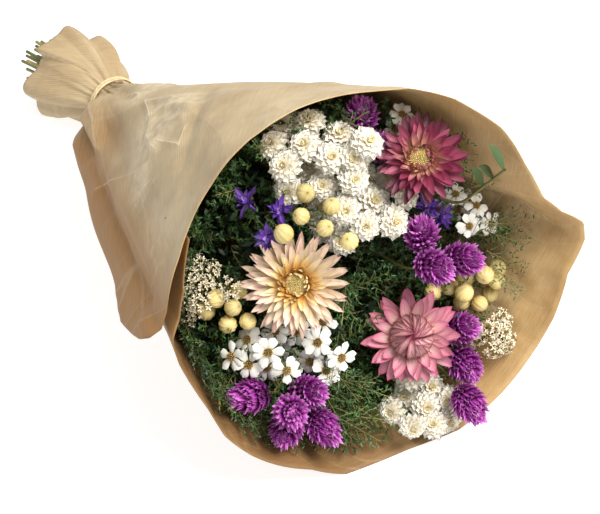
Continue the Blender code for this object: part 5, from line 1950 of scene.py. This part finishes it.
def studio_paint(name, colour, roughness, glow):
    """A plain surface that glows, with a faint grain."""
    paint = Paint(name, roughness, Emission_Color=(1, 1, 1, 1), Emission_Strength=glow)
    where = paint.node("NewGeometry").outputs["Position"]
    grain = paint.noise(where, 40.0, 2.0)
    paint.colour(paint.dim((*colour, 1), paint.scaled(grain, 0.3, 0.7, 0.995, 1.0)))
    return paint.material


def area_light(name, location, target, size, power, colour):
    """A round lamp that faces a target."""
    data = bpy.data.lights.new(name, "AREA")
    data.shape = "DISK"
    data.size = size
    data.energy = power
    data.color = colour
    light = bpy.data.objects.new(name, data)
    light.location = location
    light.rotation_euler = (Vector(target) - Vector(location)).to_track_quat("-Z", "Y").to_euler()
    bpy.context.scene.collection.objects.link(light)


FLOOR_RADIUS = 6
KEY_OFFSET = Vector((0.5, -0.7, 1.6))  # of the lamp from the middle of the bouquet
KEY_SIZE = 1.1
KEY_POWER = 50  # in watts


def studio():
    """A pale floor, white surroundings and one soft lamp above."""
    scene = bpy.context.scene
    bpy.ops.mesh.primitive_circle_add(vertices=96, radius=FLOOR_RADIUS, fill_type="NGON", location=(0, 0, 0))
    floor = bpy.context.object
    floor.name = "studio_floor"
    floor.data.materials.append(studio_paint("pale_floor", (0.42, 0.42, 0.42), 0.9, glow=0.8))
    world = bpy.data.worlds.new("soft_white")
    world.use_nodes = True
    background = world.node_tree.nodes["Background"]
    background.inputs["Color"].default_value = (1.0, 1.0, 1.0, 1)
    background.inputs["Strength"].default_value = 0.62
    scene.world = world
    scene.view_settings.view_transform = "Standard"
    middle = AXIS @ Vector((0, 0, 0.2))
    area_light("key", middle + KEY_OFFSET, middle, KEY_SIZE, KEY_POWER, (1.0, 0.98, 0.95))


CAMERA_ELEVATION = math.radians(45.5)
CAMERA_AZIMUTH = math.radians(-32.5)
CAMERA_DISTANCE = 1.05
CAMERA_SHIFT = (-0.030, 0.014)  # to the right and up, as shares of the distance
CAMERA_LENS = 120  # in mm, before a sensor 36 mm wide


def camera():
    """The camera looks at the mouth from above and from the left."""
    mouth = AXIS @ Vector((4.5 * MM, 3.2 * MM, 276.7 * MM))
    back = Vector(
        (
            math.sin(CAMERA_AZIMUTH) * math.cos(CAMERA_ELEVATION),
            -math.cos(CAMERA_AZIMUTH) * math.cos(CAMERA_ELEVATION),
            math.sin(CAMERA_ELEVATION),
        )
    )
    right = Vector((math.cos(CAMERA_AZIMUTH), math.sin(CAMERA_AZIMUTH), 0))
    up = back.cross(right)
    data = bpy.data.cameras.new("photo_camera")
    data.lens = CAMERA_LENS
    data.sensor_width = 36
    made = bpy.data.objects.new("photo_camera", data)
    shift_right, shift_up = [share * CAMERA_DISTANCE for share in CAMERA_SHIFT]
    place = mouth + back * CAMERA_DISTANCE + right * shift_right + up * shift_up
    made.matrix_world = Matrix.Translation(place) @ Matrix((right, up, back)).transposed().to_4x4()
    bpy.context.scene.collection.objects.link(made)
    bpy.context.scene.camera = made


tie_low, tie_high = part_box("raffia_tie")
AXIS = Matrix.Translation((tie_low + tie_high) / 2) @ Matrix.Rotation(math.pi / 2 - TILT, 4, "X")
AXIS_TURN = np.array(AXIS.to_3x3())
AXIS_PLACE = np.array(AXIS.translation)

dress(arrange(), make_paints())
studio()
camera()
